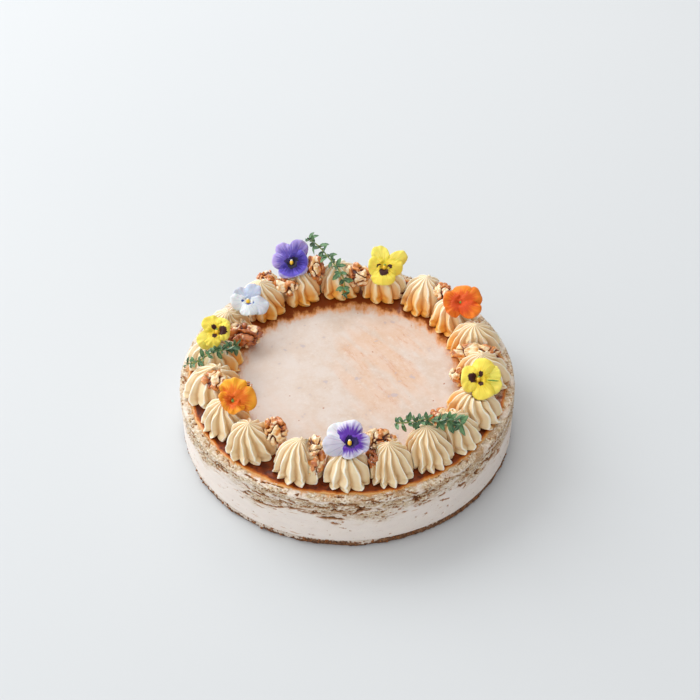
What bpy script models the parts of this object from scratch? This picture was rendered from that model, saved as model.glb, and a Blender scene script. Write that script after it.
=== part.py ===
"""Round cheesecake: a biscuit base, a set filling and a caramel glaze, topped with a ring of
piped cream swirls, candied walnut pieces, edible flowers and thyme sprigs.

Units are metres, +Z is up, and the origin is the middle of the flat underside. An angle round
the cake is in degrees, 0 at the front (-Y) and growing towards +X.
"""
import math
from dataclasses import dataclass

import bmesh
import bpy
from mathutils import Matrix, Vector, noise
from mathutils.bvhtree import BVHTree

MM = 0.001
GAP = 0.3 * MM                      # between two pieces that touch

# Cake body
CAKE_RADIUS = 101.5 * MM
BASE_HEIGHT = 5.0 * MM
RIM_TOP = 39.6 * MM
GLAZE_RADIUS = 95.4 * MM
GLAZE_TOP = 39.7 * MM
GLAZE_THICKNESS = 1.2 * MM
GLAZE_ROUNDING = (0.8 * MM, 0.35 * MM)   # how far in and how far down its top edge is rounded
CRAG_GRAIN = 7 * MM                 # size of the crags on the filling's side
BASE_BITE = 0.9 * MM                # how deep the crags of the base are at most
BODY_SEGMENTS = 72
DISC_SEGMENTS = 60

# Piped cream
SWIRL_FLOOR = GLAZE_TOP + GAP
SWIRL_RING_RADIUS = 81.5 * MM
SWIRL_GIRTH = 16.2 * MM             # half of a swirl's width round the ring, before it is squeezed
SWIRL_GROOVE = 0.17                 # depth of the grooves as a share of the radius
SWIRL_PROFILE = ((0.91, 0.0), (1.0, 0.14), (0.92, 0.39), (0.70, 0.64), (0.32, 0.87))
SQUEEZE_SHARPNESS = 12              # how abruptly a swirl flattens against its neighbour
LEAST_FACING = 0.05                 # cosine below which a direction misses the neighbour

# Toppings
PETAL_THICKNESS = 0.9 * MM
PETAL_STEPS = 20
PETAL_OVAL = 0.54                   # half of a petal's oval as a share of its length
PETAL_RISE = 0.8 * MM               # how far the edge of the dish lies above the eye
CALYX_LENGTH = 5.0 * MM
CALYX_RADIUS = 2.0 * MM
CALYX_STEP = 0.2 * MM               # from the petals' back to the calyx's widest ring
CALYX_POINT = 0.3 * MM              # the calyx's end stands out this far
NUT_MERIDIANS = 8
NUT_PARALLELS = 7
NUT_LUMP = 0.24                     # how far a nut's lobes stand out, as a share of its size
STEM_RADIUS = 0.45 * MM
STEM_SIDES = 5
LEAF_LENGTH = 5.2 * MM
LEAF_WIDTH = 2.6 * MM
LEAF_THICKNESS = 0.5 * MM
LEAF_DROOP = 0.5 * MM               # how far its tip hangs
LEAF_RIB = 0.45 * MM                # how far its middle stands up
LEAF_CLEARANCE = 0.5 * MM
LEAF_ROOT = 0.2 * MM                # a leaf starts this far from the stem's axis, inside the stem
LEAF_TIPS = range(0, 90, 10)        # degrees that a leaf is tipped up by, one after another
PRESS_DEPTH = 30 * MM               # how far above a topping its way in is kept free
CUT_MARGIN = 1.6 * GAP              # a hull's corners move out this far, so its sides clear the gap
LEVEL_ANGLE = 7                     # degrees below which two faces are merged into one


def mm(*sizes):
    """Millimetres as metres."""
    return tuple(size * MM for size in sizes)


@dataclass(frozen=True)
class Swirl:
    """One piped swirl: its place, half its size along the cake's radius, and its own habit."""
    angle: float
    reach: float
    height: float
    ridges: int
    lean_out: float = 0.0           # shift of the tip away from the cake's middle
    twist: float = 16.0             # degrees that the ridges turn from foot to tip


@dataclass(frozen=True)
class Nut:
    """A walnut piece: its middle, its three sizes, and its turn about X, Y and Z in degrees."""
    name: str
    place: tuple
    size: tuple
    turn: tuple
    seed: int


@dataclass(frozen=True)
class Flower:
    """A flower head. Petals are (degrees clockwise from the top one, length, half width)."""
    name: str
    eye: tuple
    tilt: float                     # degrees that the face leans from upright towards the front
    heading: float                  # degrees that it then turns round the vertical
    petals: tuple
    wave: float = 0.9 * MM
    colour: tuple = (0.8, 0.6, 0.1)


@dataclass(frozen=True)
class Sprig:
    """A sprig of thyme along a smooth line through its points."""
    name: str
    route: tuple
    leaf_pairs: int
    seed: int


SWIRLS = (
    Swirl(0.0, 14.2 * MM, 19 * MM, 11, -1.0 * MM),
    Swirl(16.6, 14.5 * MM, 21 * MM, 14, -1.5 * MM, 8),
    Swirl(34.5, 14.5 * MM, 22 * MM, 14, -3.0 * MM, 10),
    Swirl(49.5, 15.5 * MM, 19 * MM, 12, -1.0 * MM),
    Swirl(65.0, 17.2 * MM, 20 * MM, 12, 0.0, 12),
    Swirl(87.0, 17.5 * MM, 20 * MM, 12, -1.5 * MM, 20),
    Swirl(106.5, 17.2 * MM, 19 * MM, 13, 0.0, 24),
    Swirl(125.0, 15.5 * MM, 19 * MM, 12, 0.0, 20),
    Swirl(142.5, 15.5 * MM, 21 * MM, 12, 1.5 * MM, 12),
    Swirl(163.5, 15.5 * MM, 19 * MM, 11, 0.0),
    Swirl(183.0, 15.5 * MM, 20 * MM, 12, 0.0),
    Swirl(202.0, 15.5 * MM, 20 * MM, 12, 0.0, 10),
    Swirl(221.0, 15.5 * MM, 21 * MM, 12, 1.0 * MM, 24),
    Swirl(244.0, 15.5 * MM, 20 * MM, 12, 0.0, 22),
    Swirl(262.0, 17.5 * MM, 19 * MM, 12, -1.5 * MM, 20),
    Swirl(280.0, 18.0 * MM, 20 * MM, 12, -3.0 * MM, 20),
    Swirl(300.0, 15.0 * MM, 19 * MM, 12, 0.0, 14),
    Swirl(317.2, 15.0 * MM, 21 * MM, 12, 1.0 * MM, 18),
    Swirl(340.5, 14.5 * MM, 22 * MM, 12, -2.5 * MM, 18),
)

CREAM_FLOOR = 40 * MM               # the nuts, flowers and sprigs below are placed from here

NUTS = (
    Nut("nut_01_wedge", mm(13.6, -77.0, 8.5), mm(6, 18, 11), (-30, 0, 8), 3),
    Nut("nut_02_top", mm(17.5, -68.0, 14.5), mm(20, 12, 11), (0, 10, 8), 11),
    Nut("nut_03_side", mm(53.0, -46.5, 8.5), mm(17, 12, 12), (0, 20, 40), 17),
    Nut("nut_05_small", mm(65.4, -8.6, 7.0), mm(9, 10, 8), (0, 0, 20), 23),
    Nut("nut_06_long", mm(77.5, 9.6, 9.0), mm(29, 10, 9), (0, 8, 8), 31),
    Nut("nut_08_back", mm(60.6, 60.0, 13.0), mm(13, 11, 11), (10, 0, 40), 37),
    Nut("nut_10_pale", mm(7.2, 77.0, 13.0), mm(16, 15, 15), (0, 0, 0), 41),
    Nut("nut_11_tall", mm(-20.6, 79.5, 14.5), mm(13, 14, 22), (-14, 8, 0), 47),
    Nut("nut_12_front", mm(-38.0, 67.5, 12.0), mm(16, 11, 10), (30, 0, -10), 53),
    Nut("nut_13_side", mm(-51.2, 77.0, 9.5), mm(13, 11, 11), (0, 0, 30), 59),
    Nut("nut_14_dark", mm(-64.5, 27.5, 8.0), mm(25, 14, 14), (0, -6, -16), 61),
    Nut("nut_16_top", mm(-78.0, -19.8, 14.5), mm(15, 12, 10), (0, 0, -10), 67),
    Nut("nut_16_chip", mm(-61.0, -14.0, 4.2), mm(8, 7, 7), (0, 0, 0), 71),
    Nut("nut_18_curl", mm(-41.4, -59.0, 11.5), mm(15, 14, 18), (-12, 0, 0), 73),
    Nut("nut_19_wedge", mm(-18.7, -78.0, 11.0), mm(11, 24, 10), (33, 0, -3), 79),
)

FLOWERS = (
    Flower("flower_violet", mm(-34.8, 78.6, 22.2), 32, 4,
           ((-22, 15.5 * MM, 6 * MM), (29, 16.5 * MM, 7.2 * MM), (-77, 13 * MM, 6 * MM),
            (72, 11 * MM, 6.5 * MM), (173, 10.8 * MM, 9.4 * MM)), colour=(0.18, 0.12, 0.50)),
    Flower("flower_yellow_back", mm(24, 74.5, 21.5), 38, -6,
           ((-23, 15 * MM, 5.6 * MM), (55, 16.5 * MM, 5 * MM), (-88, 10.5 * MM, 6.5 * MM),
            (86, 12 * MM, 5.6 * MM), (183, 12.8 * MM, 7.6 * MM)), colour=(0.85, 0.60, 0.06)),
    Flower("flower_orange_right", mm(70.0, 41, 21), 26, -10,
           ((3, 11.5 * MM, 7.2 * MM), (54, 13.5 * MM, 6 * MM), (-97, 11 * MM, 7 * MM),
            (108, 16 * MM, 7.4 * MM), (165, 11.5 * MM, 7.5 * MM)), 1.3 * MM, (0.85, 0.16, 0.02)),
    Flower("flower_yellow_right", mm(76.5, -26.5, 20.5), 26, -8,
           ((16, 13.4 * MM, 7 * MM), (60, 14 * MM, 6 * MM), (-92, 10.6 * MM, 8.4 * MM),
            (108, 14.8 * MM, 6 * MM), (152, 14 * MM, 7 * MM)), colour=(0.80, 0.60, 0.06)),
    Flower("flower_white_violet", mm(1, -76.5, 20.5), 24, 4,
           ((-42, 15.6 * MM, 6.6 * MM), (5, 13.6 * MM, 7 * MM), (-94, 16 * MM, 6.4 * MM),
            (98, 11.8 * MM, 6 * MM), (158, 9.8 * MM, 7 * MM)), colour=(0.62, 0.58, 0.75)),
    Flower("flower_orange_left", mm(-66, -42.5, 20.5), 26, 8,
           ((2, 13.6 * MM, 8.2 * MM), (90, 13.4 * MM, 7.4 * MM), (-50, 10 * MM, 5 * MM),
            (-117, 8 * MM, 4.5 * MM), (160, 9 * MM, 6 * MM)), 1.2 * MM, (0.85, 0.30, 0.03)),
    Flower("flower_yellow_left", mm(-78.5, 15.5, 21), 24, 8,
           ((-25, 11.6 * MM, 6 * MM), (40, 10 * MM, 5.4 * MM), (100, 8.4 * MM, 6.2 * MM),
            (-123, 14.4 * MM, 5.6 * MM), (-152, 11.5 * MM, 5 * MM)), colour=(0.80, 0.66, 0.10)),
    Flower("flower_white_blue", mm(-61, 43.5, 20.5), 24, 10,
           ((-28, 11.5 * MM, 5.4 * MM), (31, 13 * MM, 5.4 * MM), (-84, 11 * MM, 5.4 * MM),
            (123, 14 * MM, 6 * MM), (180, 11 * MM, 6 * MM)), colour=(0.62, 0.66, 0.72)),
)

SPRIGS = (
    Sprig("thyme_back", (mm(-25, 99, 27), mm(-18, 91, 26),
                         mm(-10.5, 80, 24), mm(-5, 73, 21),
                         mm(-1.7, 68, 16), mm(-2.2, 63.6, 9)), 8, 5),
    Sprig("thyme_left", (mm(-96, -0.5, 10), mm(-90, -3, 14),
                         mm(-84, -1, 17), mm(-79, 1, 19),
                         mm(-74, 2, 19), mm(-68, 7.5, 17)), 7, 7),
    Sprig("thyme_right", (mm(27.5, -59.5, 19), mm(36.4, -60.5, 20.5),
                          mm(43.8, -60, 22.5), mm(50, -61, 21.5),
                          mm(56.5, -58, 19.5), mm(63.8, -60.5, 20)), 8, 9),
)

COLOURS = {
    "biscuit": (0.16, 0.075, 0.035),
    "filling": (0.66, 0.57, 0.46),
    "glaze": (0.36, 0.13, 0.045),
    "cream": (0.80, 0.64, 0.42),
    "nut": (0.44, 0.19, 0.055),
    "leaf": (0.045, 0.14, 0.05),
}


def clear_scene():
    for thing in list(bpy.data.objects):
        bpy.data.objects.remove(thing, do_unlink=True)


def new_material(name, colour, roughness):
    material = bpy.data.materials.new(name)
    material.use_nodes = True
    shader = material.node_tree.nodes["Principled BSDF"]
    shader.inputs["Base Color"].default_value = (*colour, 1.0)
    shader.inputs["Roughness"].default_value = roughness
    shader.inputs["Metallic"].default_value = 0.0
    return material


def add_object(name, mesh, material=None):
    thing = bpy.data.objects.new(name, mesh)
    bpy.context.scene.collection.objects.link(thing)
    if material is not None:
        mesh.materials.append(material)
    return thing


def finish_mesh(name, shape, smooth=True):
    """Turn a bmesh into a mesh of triangles whose faces point out."""
    bmesh.ops.triangulate(shape, faces=shape.faces[:])
    bmesh.ops.recalc_face_normals(shape, faces=shape.faces[:])
    mesh = bpy.data.meshes.new(name)
    shape.to_mesh(mesh)
    shape.free()
    if smooth:
        mesh.shade_smooth()
    return mesh


def loft(loops, start, end):
    """Closed solid over rings of points with the same count, with a point at each end."""
    shape = bmesh.new()
    rows = [[shape.verts.new(point) for point in loop] for loop in loops]
    count = len(rows[0])
    for lower, upper in zip(rows, rows[1:]):
        for step in range(count):
            after = (step + 1) % count
            shape.faces.new((lower[step], lower[after], upper[after], upper[step]))
    for row, point in ((rows[0], start), (rows[-1], end)):
        middle = shape.verts.new(point)
        for step in range(count):
            shape.faces.new((row[step], row[(step + 1) % count], middle))
    return shape


def ring_place(angle, radius, height=0.0):
    turn = math.radians(angle)
    return Vector((radius * math.sin(turn), -radius * math.cos(turn), height))


def smooth_line(points, count):
    """Places along a Catmull-Rom curve through the points."""
    ends = [points[0] * 2 - points[1], *points, points[-1] * 2 - points[-2]]
    places = []
    for step in range(count):
        along = step / (count - 1) * (len(points) - 1)
        span = min(int(along), len(points) - 2)
        t = along - span
        a, b, c, d = ends[span:span + 4]
        places.append(0.5 * (2 * b + (c - a) * t + (2 * a - 5 * b + 4 * c - d) * t ** 2
                             + (3 * b - a - 3 * c + d) * t ** 3))
    return places


# Cake body ---------------------------------------------------------------------------------

def crag(place):
    """How deep a crag bites at a place, from 0 to about 1."""
    coarse = noise.noise(place / CRAG_GRAIN)
    fine = noise.noise(place / CRAG_GRAIN * 2.3 + Vector((5, 3, 1)))
    return max(0.0, min(1.0, 0.45 + 0.9 * coarse + 0.5 * fine))


def craggy_loops(rings, segments):
    """Rings of (radius, height, bite inwards, bite downwards), each eaten away by crags."""
    loops = []
    for radius, height, bite_in, bite_down in rings:
        loop = []
        for step in range(segments):
            direction = ring_place(360 * step / segments, 1.0)
            bite = crag(direction * radius + Vector((0, 0, height)))
            place = direction * (radius - bite_in * bite)
            place.z = height - bite_down * bite
            loop.append(place)
        loops.append(loop)
    return loops


def make_base(material):
    top = BASE_HEIGHT
    rings = (
        (CAKE_RADIUS - 1.6 * MM, 0.0, 0.6 * MM, 0.0),
        (CAKE_RADIUS - 0.4 * MM, 0.9 * MM, BASE_BITE, 0.0),
        (CAKE_RADIUS - 0.2 * MM, top - 1.0 * MM, BASE_BITE, 0.0),
        (CAKE_RADIUS - 1.0 * MM, top, 0.5 * MM, 0.0),
    )
    shape = loft(craggy_loops(rings, DISC_SEGMENTS), Vector(), Vector((0, 0, top)))
    return add_object("biscuit_base", finish_mesh("biscuit_base", shape), material)


def make_filling(material):
    floor = BASE_HEIGHT + GAP
    recess = GLAZE_TOP - GLAZE_THICKNESS - GAP
    wall = GLAZE_RADIUS + GAP
    rings = (
        (CAKE_RADIUS - 0.5 * MM, floor, 0.2 * MM, 0.0),
        (CAKE_RADIUS, 7.5 * MM, 0.2 * MM, 0.0),
        (CAKE_RADIUS, 18 * MM, 0.3 * MM, 0.0),
        (CAKE_RADIUS, 27 * MM, 1.0 * MM, 0.0),
        (CAKE_RADIUS, 31 * MM, 1.6 * MM, 0.0),
        (CAKE_RADIUS, 34.5 * MM, 1.8 * MM, 0.0),
        (CAKE_RADIUS - 0.3 * MM, 37.4 * MM, 1.4 * MM, 0.4 * MM),
        (CAKE_RADIUS - 1.4 * MM, 39.2 * MM, 1.0 * MM, 1.1 * MM),
        (98.3 * MM, RIM_TOP, 0.0, 0.9 * MM),
        (wall + 0.3 * MM, RIM_TOP - 0.1 * MM, 0.0, 0.3 * MM),
        (wall, recess, 0.0, 0.0),
    )
    loops = craggy_loops(rings, BODY_SEGMENTS)
    shape = loft(loops, Vector((0, 0, floor)), Vector((0, 0, recess)))
    return add_object("cheese_filling", finish_mesh("cheese_filling", shape), material)


def make_glaze(material):
    bottom = GLAZE_TOP - GLAZE_THICKNESS
    inwards, down = GLAZE_ROUNDING
    rings = (
        (GLAZE_RADIUS, bottom, 0.0, 0.0),
        (GLAZE_RADIUS, GLAZE_TOP - down, 0.0, 0.0),
        (GLAZE_RADIUS - inwards, GLAZE_TOP, 0.0, 0.0),
    )
    loops = craggy_loops(rings, DISC_SEGMENTS)
    shape = loft(loops, Vector((0, 0, bottom)), Vector((0, 0, GLAZE_TOP)))
    return add_object("caramel_glaze", finish_mesh("caramel_glaze", shape), material)


# Piped cream -------------------------------------------------------------------------------

def swirl_neighbours(index):
    """Directions to the two neighbours in the swirl's own frame, and half the way to each."""
    swirl = SWIRLS[index]
    here = ring_place(swirl.angle, SWIRL_RING_RADIUS)
    into_own_frame = Matrix.Rotation(math.radians(90 - swirl.angle), 3, "Z")
    sides = []
    for other in (SWIRLS[index - 1], SWIRLS[(index + 1) % len(SWIRLS)]):
        way = into_own_frame @ (ring_place(other.angle, SWIRL_RING_RADIUS) - here)
        sides.append((way.normalized(), way.length / 2 - GAP / 2))
    return sides


def swirl_radius(swirl, sides, share, shift, direction, ridge):
    """Distance from the axis to the surface: an oval, grooved, squeezed by its neighbours."""
    oval = 1 / math.hypot(direction.x / swirl.reach, direction.y / SWIRL_GIRTH)
    radius = oval * share * (1 - SWIRL_GROOVE * (1 - ridge))
    for way, half in sides:
        facing = direction.dot(way)
        if facing > LEAST_FACING:
            limit = (half - shift * way.x) / facing
            radius = (radius ** -SQUEEZE_SHARPNESS + limit ** -SQUEEZE_SHARPNESS) \
                ** (-1 / SQUEEZE_SHARPNESS)
    return radius


def make_swirl(index, material):
    """A swirl from a star nozzle, with a point on each ridge and one in each groove."""
    swirl = SWIRLS[index]
    sides = swirl_neighbours(index)
    count = 2 * swirl.ridges
    loops = []
    for share, level in SWIRL_PROFILE:
        shift = swirl.lean_out * level ** 2
        turn = math.radians(swirl.twist) * level
        loop = []
        for step in range(count):
            angle = 2 * math.pi * step / count - turn
            direction = Vector((math.cos(angle), math.sin(angle), 0))
            ridge = 1 - step % 2
            place = direction * swirl_radius(swirl, sides, share, shift, direction, ridge)
            loop.append(place + Vector((shift, 0, level * swirl.height)))
        loops.append(loop)
    shape = loft(loops, Vector(), Vector((swirl.lean_out, 0, swirl.height)))
    name = f"cream_{index + 1:02d}"
    thing = add_object(name, finish_mesh(name, shape), material)
    thing.location = ring_place(swirl.angle, SWIRL_RING_RADIUS, SWIRL_FLOOR)
    thing.rotation_euler.z = math.radians(swirl.angle - 90)
    return thing


# Nuts --------------------------------------------------------------------------------------

def nut_radius(direction, seed):
    """A walnut piece's radius over that of its plain oval, for a direction from its middle."""
    offset = Vector((seed, 2 * seed, 3 * seed)) * 0.37
    lobes = noise.noise(direction * 1.5 + offset)
    folds = noise.noise(direction * 3.4 + offset * 2)
    return 1 - 0.2 * NUT_LUMP + NUT_LUMP * (lobes + 0.6 * folds)


def make_nut(nut, material):
    """A lumpy walnut piece, lying no lower than the cream does."""
    loops = []
    for row in range(1, NUT_PARALLELS):
        polar = math.pi * (1 - row / NUT_PARALLELS)
        loop = []
        for step in range(NUT_MERIDIANS):
            angle = 2 * math.pi * step / NUT_MERIDIANS
            direction = Vector((math.sin(polar) * math.cos(angle),
                                math.sin(polar) * math.sin(angle), math.cos(polar)))
            loop.append(nut_point(nut, direction))
        loops.append(loop)
    shape = loft(loops, nut_point(nut, Vector((0, 0, -1))), nut_point(nut, Vector((0, 0, 1))))
    turn = Matrix.Rotation(math.radians(nut.turn[2]), 4, "Z") \
        @ Matrix.Rotation(math.radians(nut.turn[1]), 4, "Y") \
        @ Matrix.Rotation(math.radians(nut.turn[0]), 4, "X")
    lift = Matrix.Translation(Vector(nut.place) + Vector((0, 0, CREAM_FLOOR)))
    shape.transform(lift @ turn)
    for vertex in shape.verts:
        vertex.co.z = max(vertex.co.z, SWIRL_FLOOR)
    return add_object(nut.name, finish_mesh(nut.name, shape), material)


def nut_point(nut, direction):
    stretched = Vector([part * size / 2 for part, size in zip(direction, nut.size)])
    return stretched * nut_radius(direction, nut.seed)


# Flowers -----------------------------------------------------------------------------------

def petal_edge(petal, angle):
    """Distance from the eye to an oval petal's edge, along an angle in degrees."""
    heading, length, half_width = petal
    half_length = PETAL_OVAL * length
    middle = length - half_length
    away = math.radians(angle - heading)
    a = (math.cos(away) / half_length) ** 2 + (math.sin(away) / half_width) ** 2
    b = -2 * middle * math.cos(away) / half_length ** 2
    c = (middle / half_length) ** 2 - 1
    return (-b + math.sqrt(b * b - 4 * a * c)) / (2 * a)


def petal_lift(flower, angle, share):
    """Height of the petals over the eye: a shallow dish with waves towards its edge."""
    wave = math.sin(3 * math.radians(angle) + len(flower.name))
    return share ** 2 * (PETAL_RISE + flower.wave * wave)


def flower_loop(flower, share, offset):
    loop = []
    for step in range(PETAL_STEPS):
        angle = 360 * step / PETAL_STEPS
        edge = max(petal_edge(petal, angle) for petal in flower.petals)
        lift = petal_lift(flower, angle, share) + offset
        turn = math.radians(angle)
        loop.append(Vector((edge * share * math.sin(turn), edge * share * math.cos(turn), lift)))
    return loop


def calyx_loop(radius, depth):
    loop = []
    for step in range(PETAL_STEPS):
        turn = 2 * math.pi * step / PETAL_STEPS
        loop.append(Vector((radius * math.sin(turn), radius * math.cos(turn), -depth)))
    return loop


def flower_pose(flower):
    """The eye's place, and the turn from a flower lying face up with its top petal along +Y."""
    place = Vector(flower.eye) + Vector((0, 0, CREAM_FLOOR))
    turn = Matrix.Rotation(math.radians(flower.heading), 4, "Z") \
        @ Matrix.Rotation(math.radians(flower.tilt), 4, "X")
    return place, turn


def make_flower(flower, material):
    """Thin wavy petals in one sheet, with the short green calyx behind them."""
    half = PETAL_THICKNESS / 2
    loops = [
        calyx_loop(0.6 * CALYX_RADIUS, CALYX_LENGTH),
        calyx_loop(CALYX_RADIUS, half + CALYX_STEP),
        flower_loop(flower, 0.5, -half),
        flower_loop(flower, 1.0, -half),
        flower_loop(flower, 1.0, half),
        flower_loop(flower, 0.5, half),
    ]
    shape = loft(loops, Vector((0, 0, -CALYX_LENGTH - CALYX_POINT)), Vector((0, 0, half)))
    place, turn = flower_pose(flower)
    thing = add_object(flower.name, finish_mesh(flower.name, shape), material)
    thing.location = place
    thing.rotation_euler = turn.to_euler()
    return thing


# Room for toppings -------------------------------------------------------------------------

def add_cutter(name, points, way=None):
    """A hidden hull a little larger than the points, swept along the way they came in."""
    shape = bmesh.new()
    for point in points:
        shape.verts.new(point)
        if way is not None:
            shape.verts.new(point + way)
    result = bmesh.ops.convex_hull(shape, input=shape.verts[:])
    loose = {v for v in result["geom_interior"] if isinstance(v, bmesh.types.BMVert)}
    bmesh.ops.delete(shape, geom=[v for v in loose if v.is_valid], context="VERTS")
    bmesh.ops.recalc_face_normals(shape, faces=shape.faces[:])
    shape.normal_update()
    moves = {vertex: vertex.normal * CUT_MARGIN for vertex in shape.verts}
    for vertex, move in moves.items():
        vertex.co += move
    cutter = add_object(name, finish_mesh(name, shape, smooth=False))
    cutter.hide_render = True
    cutter.display_type = "WIRE"
    return cutter


def world_points(thing):
    bpy.context.view_layer.update()
    return [thing.matrix_world @ vertex.co for vertex in thing.data.vertices]


def boxes_meet(points, others):
    for axis in range(3):
        if max(p[axis] for p in points) < min(p[axis] for p in others):
            return False
        if min(p[axis] for p in points) > max(p[axis] for p in others):
            return False
    return True


def cut_around(cutter, pieces):
    """Each piece that the cutter reaches gives way to it."""
    reach = world_points(cutter)
    for piece in pieces:
        if boxes_meet(reach, world_points(piece)):
            cut = piece.modifiers.new(cutter.name, "BOOLEAN")
            cut.operation = "DIFFERENCE"
            cut.solver = "EXACT"
            cut.object = cutter


def simplify(thing):
    """Merge the nearly level faces that the cuts leave."""
    merge = thing.modifiers.new("merge", "DECIMATE")
    merge.decimate_type = "DISSOLVE"
    merge.angle_limit = math.radians(LEVEL_ANGLE)


def press_in_nut(thing, pieces):
    cutter = add_cutter("room_" + thing.name, world_points(thing), Vector((0, 0, PRESS_DEPTH)))
    cut_around(cutter, pieces)


def press_in_flower(flower, thing, pieces):
    """The petals lie on flattened cream, and the calyx sits in a hollow of its own."""
    points = world_points(thing)
    petals = points[2 * PETAL_STEPS:-2]
    calyx = points[:2 * PETAL_STEPS] + points[-2:-1]
    _place, turn = flower_pose(flower)
    outwards = turn.to_3x3() @ Vector((0, 0, PRESS_DEPTH))
    cut_around(add_cutter("seat_" + thing.name, petals, outwards), pieces)
    cut_around(add_cutter("room_" + thing.name, calyx), pieces)


# Thyme -------------------------------------------------------------------------------------

def evaluated_tree(pieces):
    """One search tree over the finished surfaces of the pieces."""
    graph = bpy.context.evaluated_depsgraph_get()
    points = []
    faces = []
    for piece in pieces:
        mesh = piece.evaluated_get(graph).to_mesh()
        first = len(points)
        points += [piece.matrix_world @ vertex.co for vertex in mesh.vertices]
        faces += [[first + corner for corner in face.vertices] for face in mesh.polygons]
    return BVHTree.FromPolygons(points, faces)


def leaf_points(start, along, flat):
    """A leaf's outline from its foot round its tip, and the raised middle of its rib."""
    across = along.cross(flat).normalized()
    half = LEAF_WIDTH / 2
    outline = []
    for forward, side in ((0, 0), (0.5, 1), (1, 0), (0.5, -1)):
        place = start + along * LEAF_LENGTH * forward + across * half * side
        outline.append(place - flat * LEAF_DROOP * forward ** 2)
    return outline, start + along * LEAF_LENGTH / 2 + flat * LEAF_RIB


def leaf_shape(start, along, flat):
    outline, rib = leaf_points(start, along, flat)
    half = flat * LEAF_THICKNESS / 2
    below = [place - half for place in outline]
    above = [place + half for place in outline]
    return loft([below, above], rib - half, rib + half)


def clear_leaf(tree, start, along, flat):
    """Tip a leaf upwards until no point of it comes close to what lies below."""
    axis = along.cross(Vector((0, 0, 1)))
    for tip in LEAF_TIPS:
        turn = Matrix.Rotation(math.radians(tip), 3, axis)
        leaning = turn @ along
        face = turn @ flat
        outline, rib = leaf_points(start, leaning, face)
        near = [tree.find_nearest(place)[3] for place in (*outline[1:], rib)]
        if min(near) > LEAF_CLEARANCE:
            return leaning, face
    return None


def stem_shape(places):
    loops = []
    for step, place in enumerate(places):
        before = places[max(step - 1, 0)]
        after = places[min(step + 1, len(places) - 1)]
        ahead = (after - before).normalized()
        side = ahead.cross(Vector((0, 0, 1))).normalized()
        up = side.cross(ahead)
        loops.append([place + STEM_RADIUS * (math.cos(2 * math.pi * k / STEM_SIDES) * side
                                             + math.sin(2 * math.pi * k / STEM_SIDES) * up)
                      for k in range(STEM_SIDES)])
    return loft(loops, places[0], places[-1])


def make_sprig(sprig, tree, material):
    """A stem with pairs of small leaves, joined into one solid."""
    lift = Vector((0, 0, CREAM_FLOOR))
    places = smooth_line([Vector(point) + lift for point in sprig.route], sprig.leaf_pairs + 2)
    parts = [stem_shape(places)]
    for pair in range(sprig.leaf_pairs):
        foot = places[pair + 1]
        ahead = (places[pair + 2] - places[pair]).normalized()
        for side in (-1, 1):
            spread = noise.noise(Vector((sprig.seed, pair, side * 0.5)) * 1.7)
            across = Matrix.Rotation(math.radians(side * (55 + 25 * spread)), 3, "Z") @ ahead
            across = (across + Vector((0, 0, 0.35 + 0.5 * spread))).normalized()
            flat = across.cross(Vector((0, 0, 1)).cross(across)).normalized()
            settled = clear_leaf(tree, foot, across, flat)
            if settled is not None:
                parts.append(leaf_shape(foot + settled[0] * LEAF_ROOT, *settled))
    group = bpy.data.collections.new(sprig.name + "_parts")
    bpy.context.scene.collection.children.link(group)
    for part in parts[1:]:
        leaf = bpy.data.objects.new("leaf", finish_mesh("leaf", part))
        group.objects.link(leaf)
    thing = add_object(sprig.name, finish_mesh(sprig.name, parts[0]), material)
    join = thing.modifiers.new("join", "BOOLEAN")
    join.operation = "UNION"
    join.solver = "EXACT"
    join.operand_type = "COLLECTION"
    join.collection = group
    apply_modifiers(thing)
    for leaf in list(group.objects):
        bpy.data.objects.remove(leaf, do_unlink=True)
    bpy.data.collections.remove(group)
    return thing


def apply_modifiers(thing):
    graph = bpy.context.evaluated_depsgraph_get()
    mesh = bpy.data.meshes.new_from_object(thing.evaluated_get(graph))
    thing.modifiers.clear()
    thing.data = mesh


def main():
    clear_scene()
    body_material = new_material("filling", COLOURS["filling"], 0.75)
    make_base(new_material("biscuit", COLOURS["biscuit"], 0.9))
    make_filling(body_material)
    make_glaze(new_material("glaze", COLOURS["glaze"], 0.08))
    cream_look = COLOURS["cream"]
    creams = [make_swirl(index, new_material(f"cream_{index + 1:02d}", cream_look, 0.45))
              for index in range(len(SWIRLS))]
    nuts = []
    for nut in NUTS:
        thing = make_nut(nut, new_material(nut.name, COLOURS["nut"], 0.3))
        press_in_nut(thing, creams)
        nuts.append(thing)
    heads = []
    for flower in FLOWERS:
        thing = make_flower(flower, new_material(flower.name, flower.colour, 0.6))
        press_in_flower(flower, thing, creams + nuts)
        heads.append(thing)
    for cream in creams:
        simplify(cream)
    tree = evaluated_tree(creams + nuts + heads)
    for sprig in SPRIGS:
        make_sprig(sprig, tree, new_material(sprig.name, COLOURS["leaf"], 0.6))


main()
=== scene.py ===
"""Looks for a round cheesecake with piped cream swirls, candied walnuts, edible flowers and thyme.

Shapes are worked out in millimetres, with +Z up and the origin in the middle of the flat
underside, and are turned into metres when a piece is kept. An angle round the cake is in
degrees, 0 at the front (-Y) and growing towards +X.
"""

import math
from dataclasses import dataclass

import bmesh
import bpy
from mathutils import Euler, Matrix, Vector, noise
from mathutils.bvhtree import BVHTree


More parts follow.
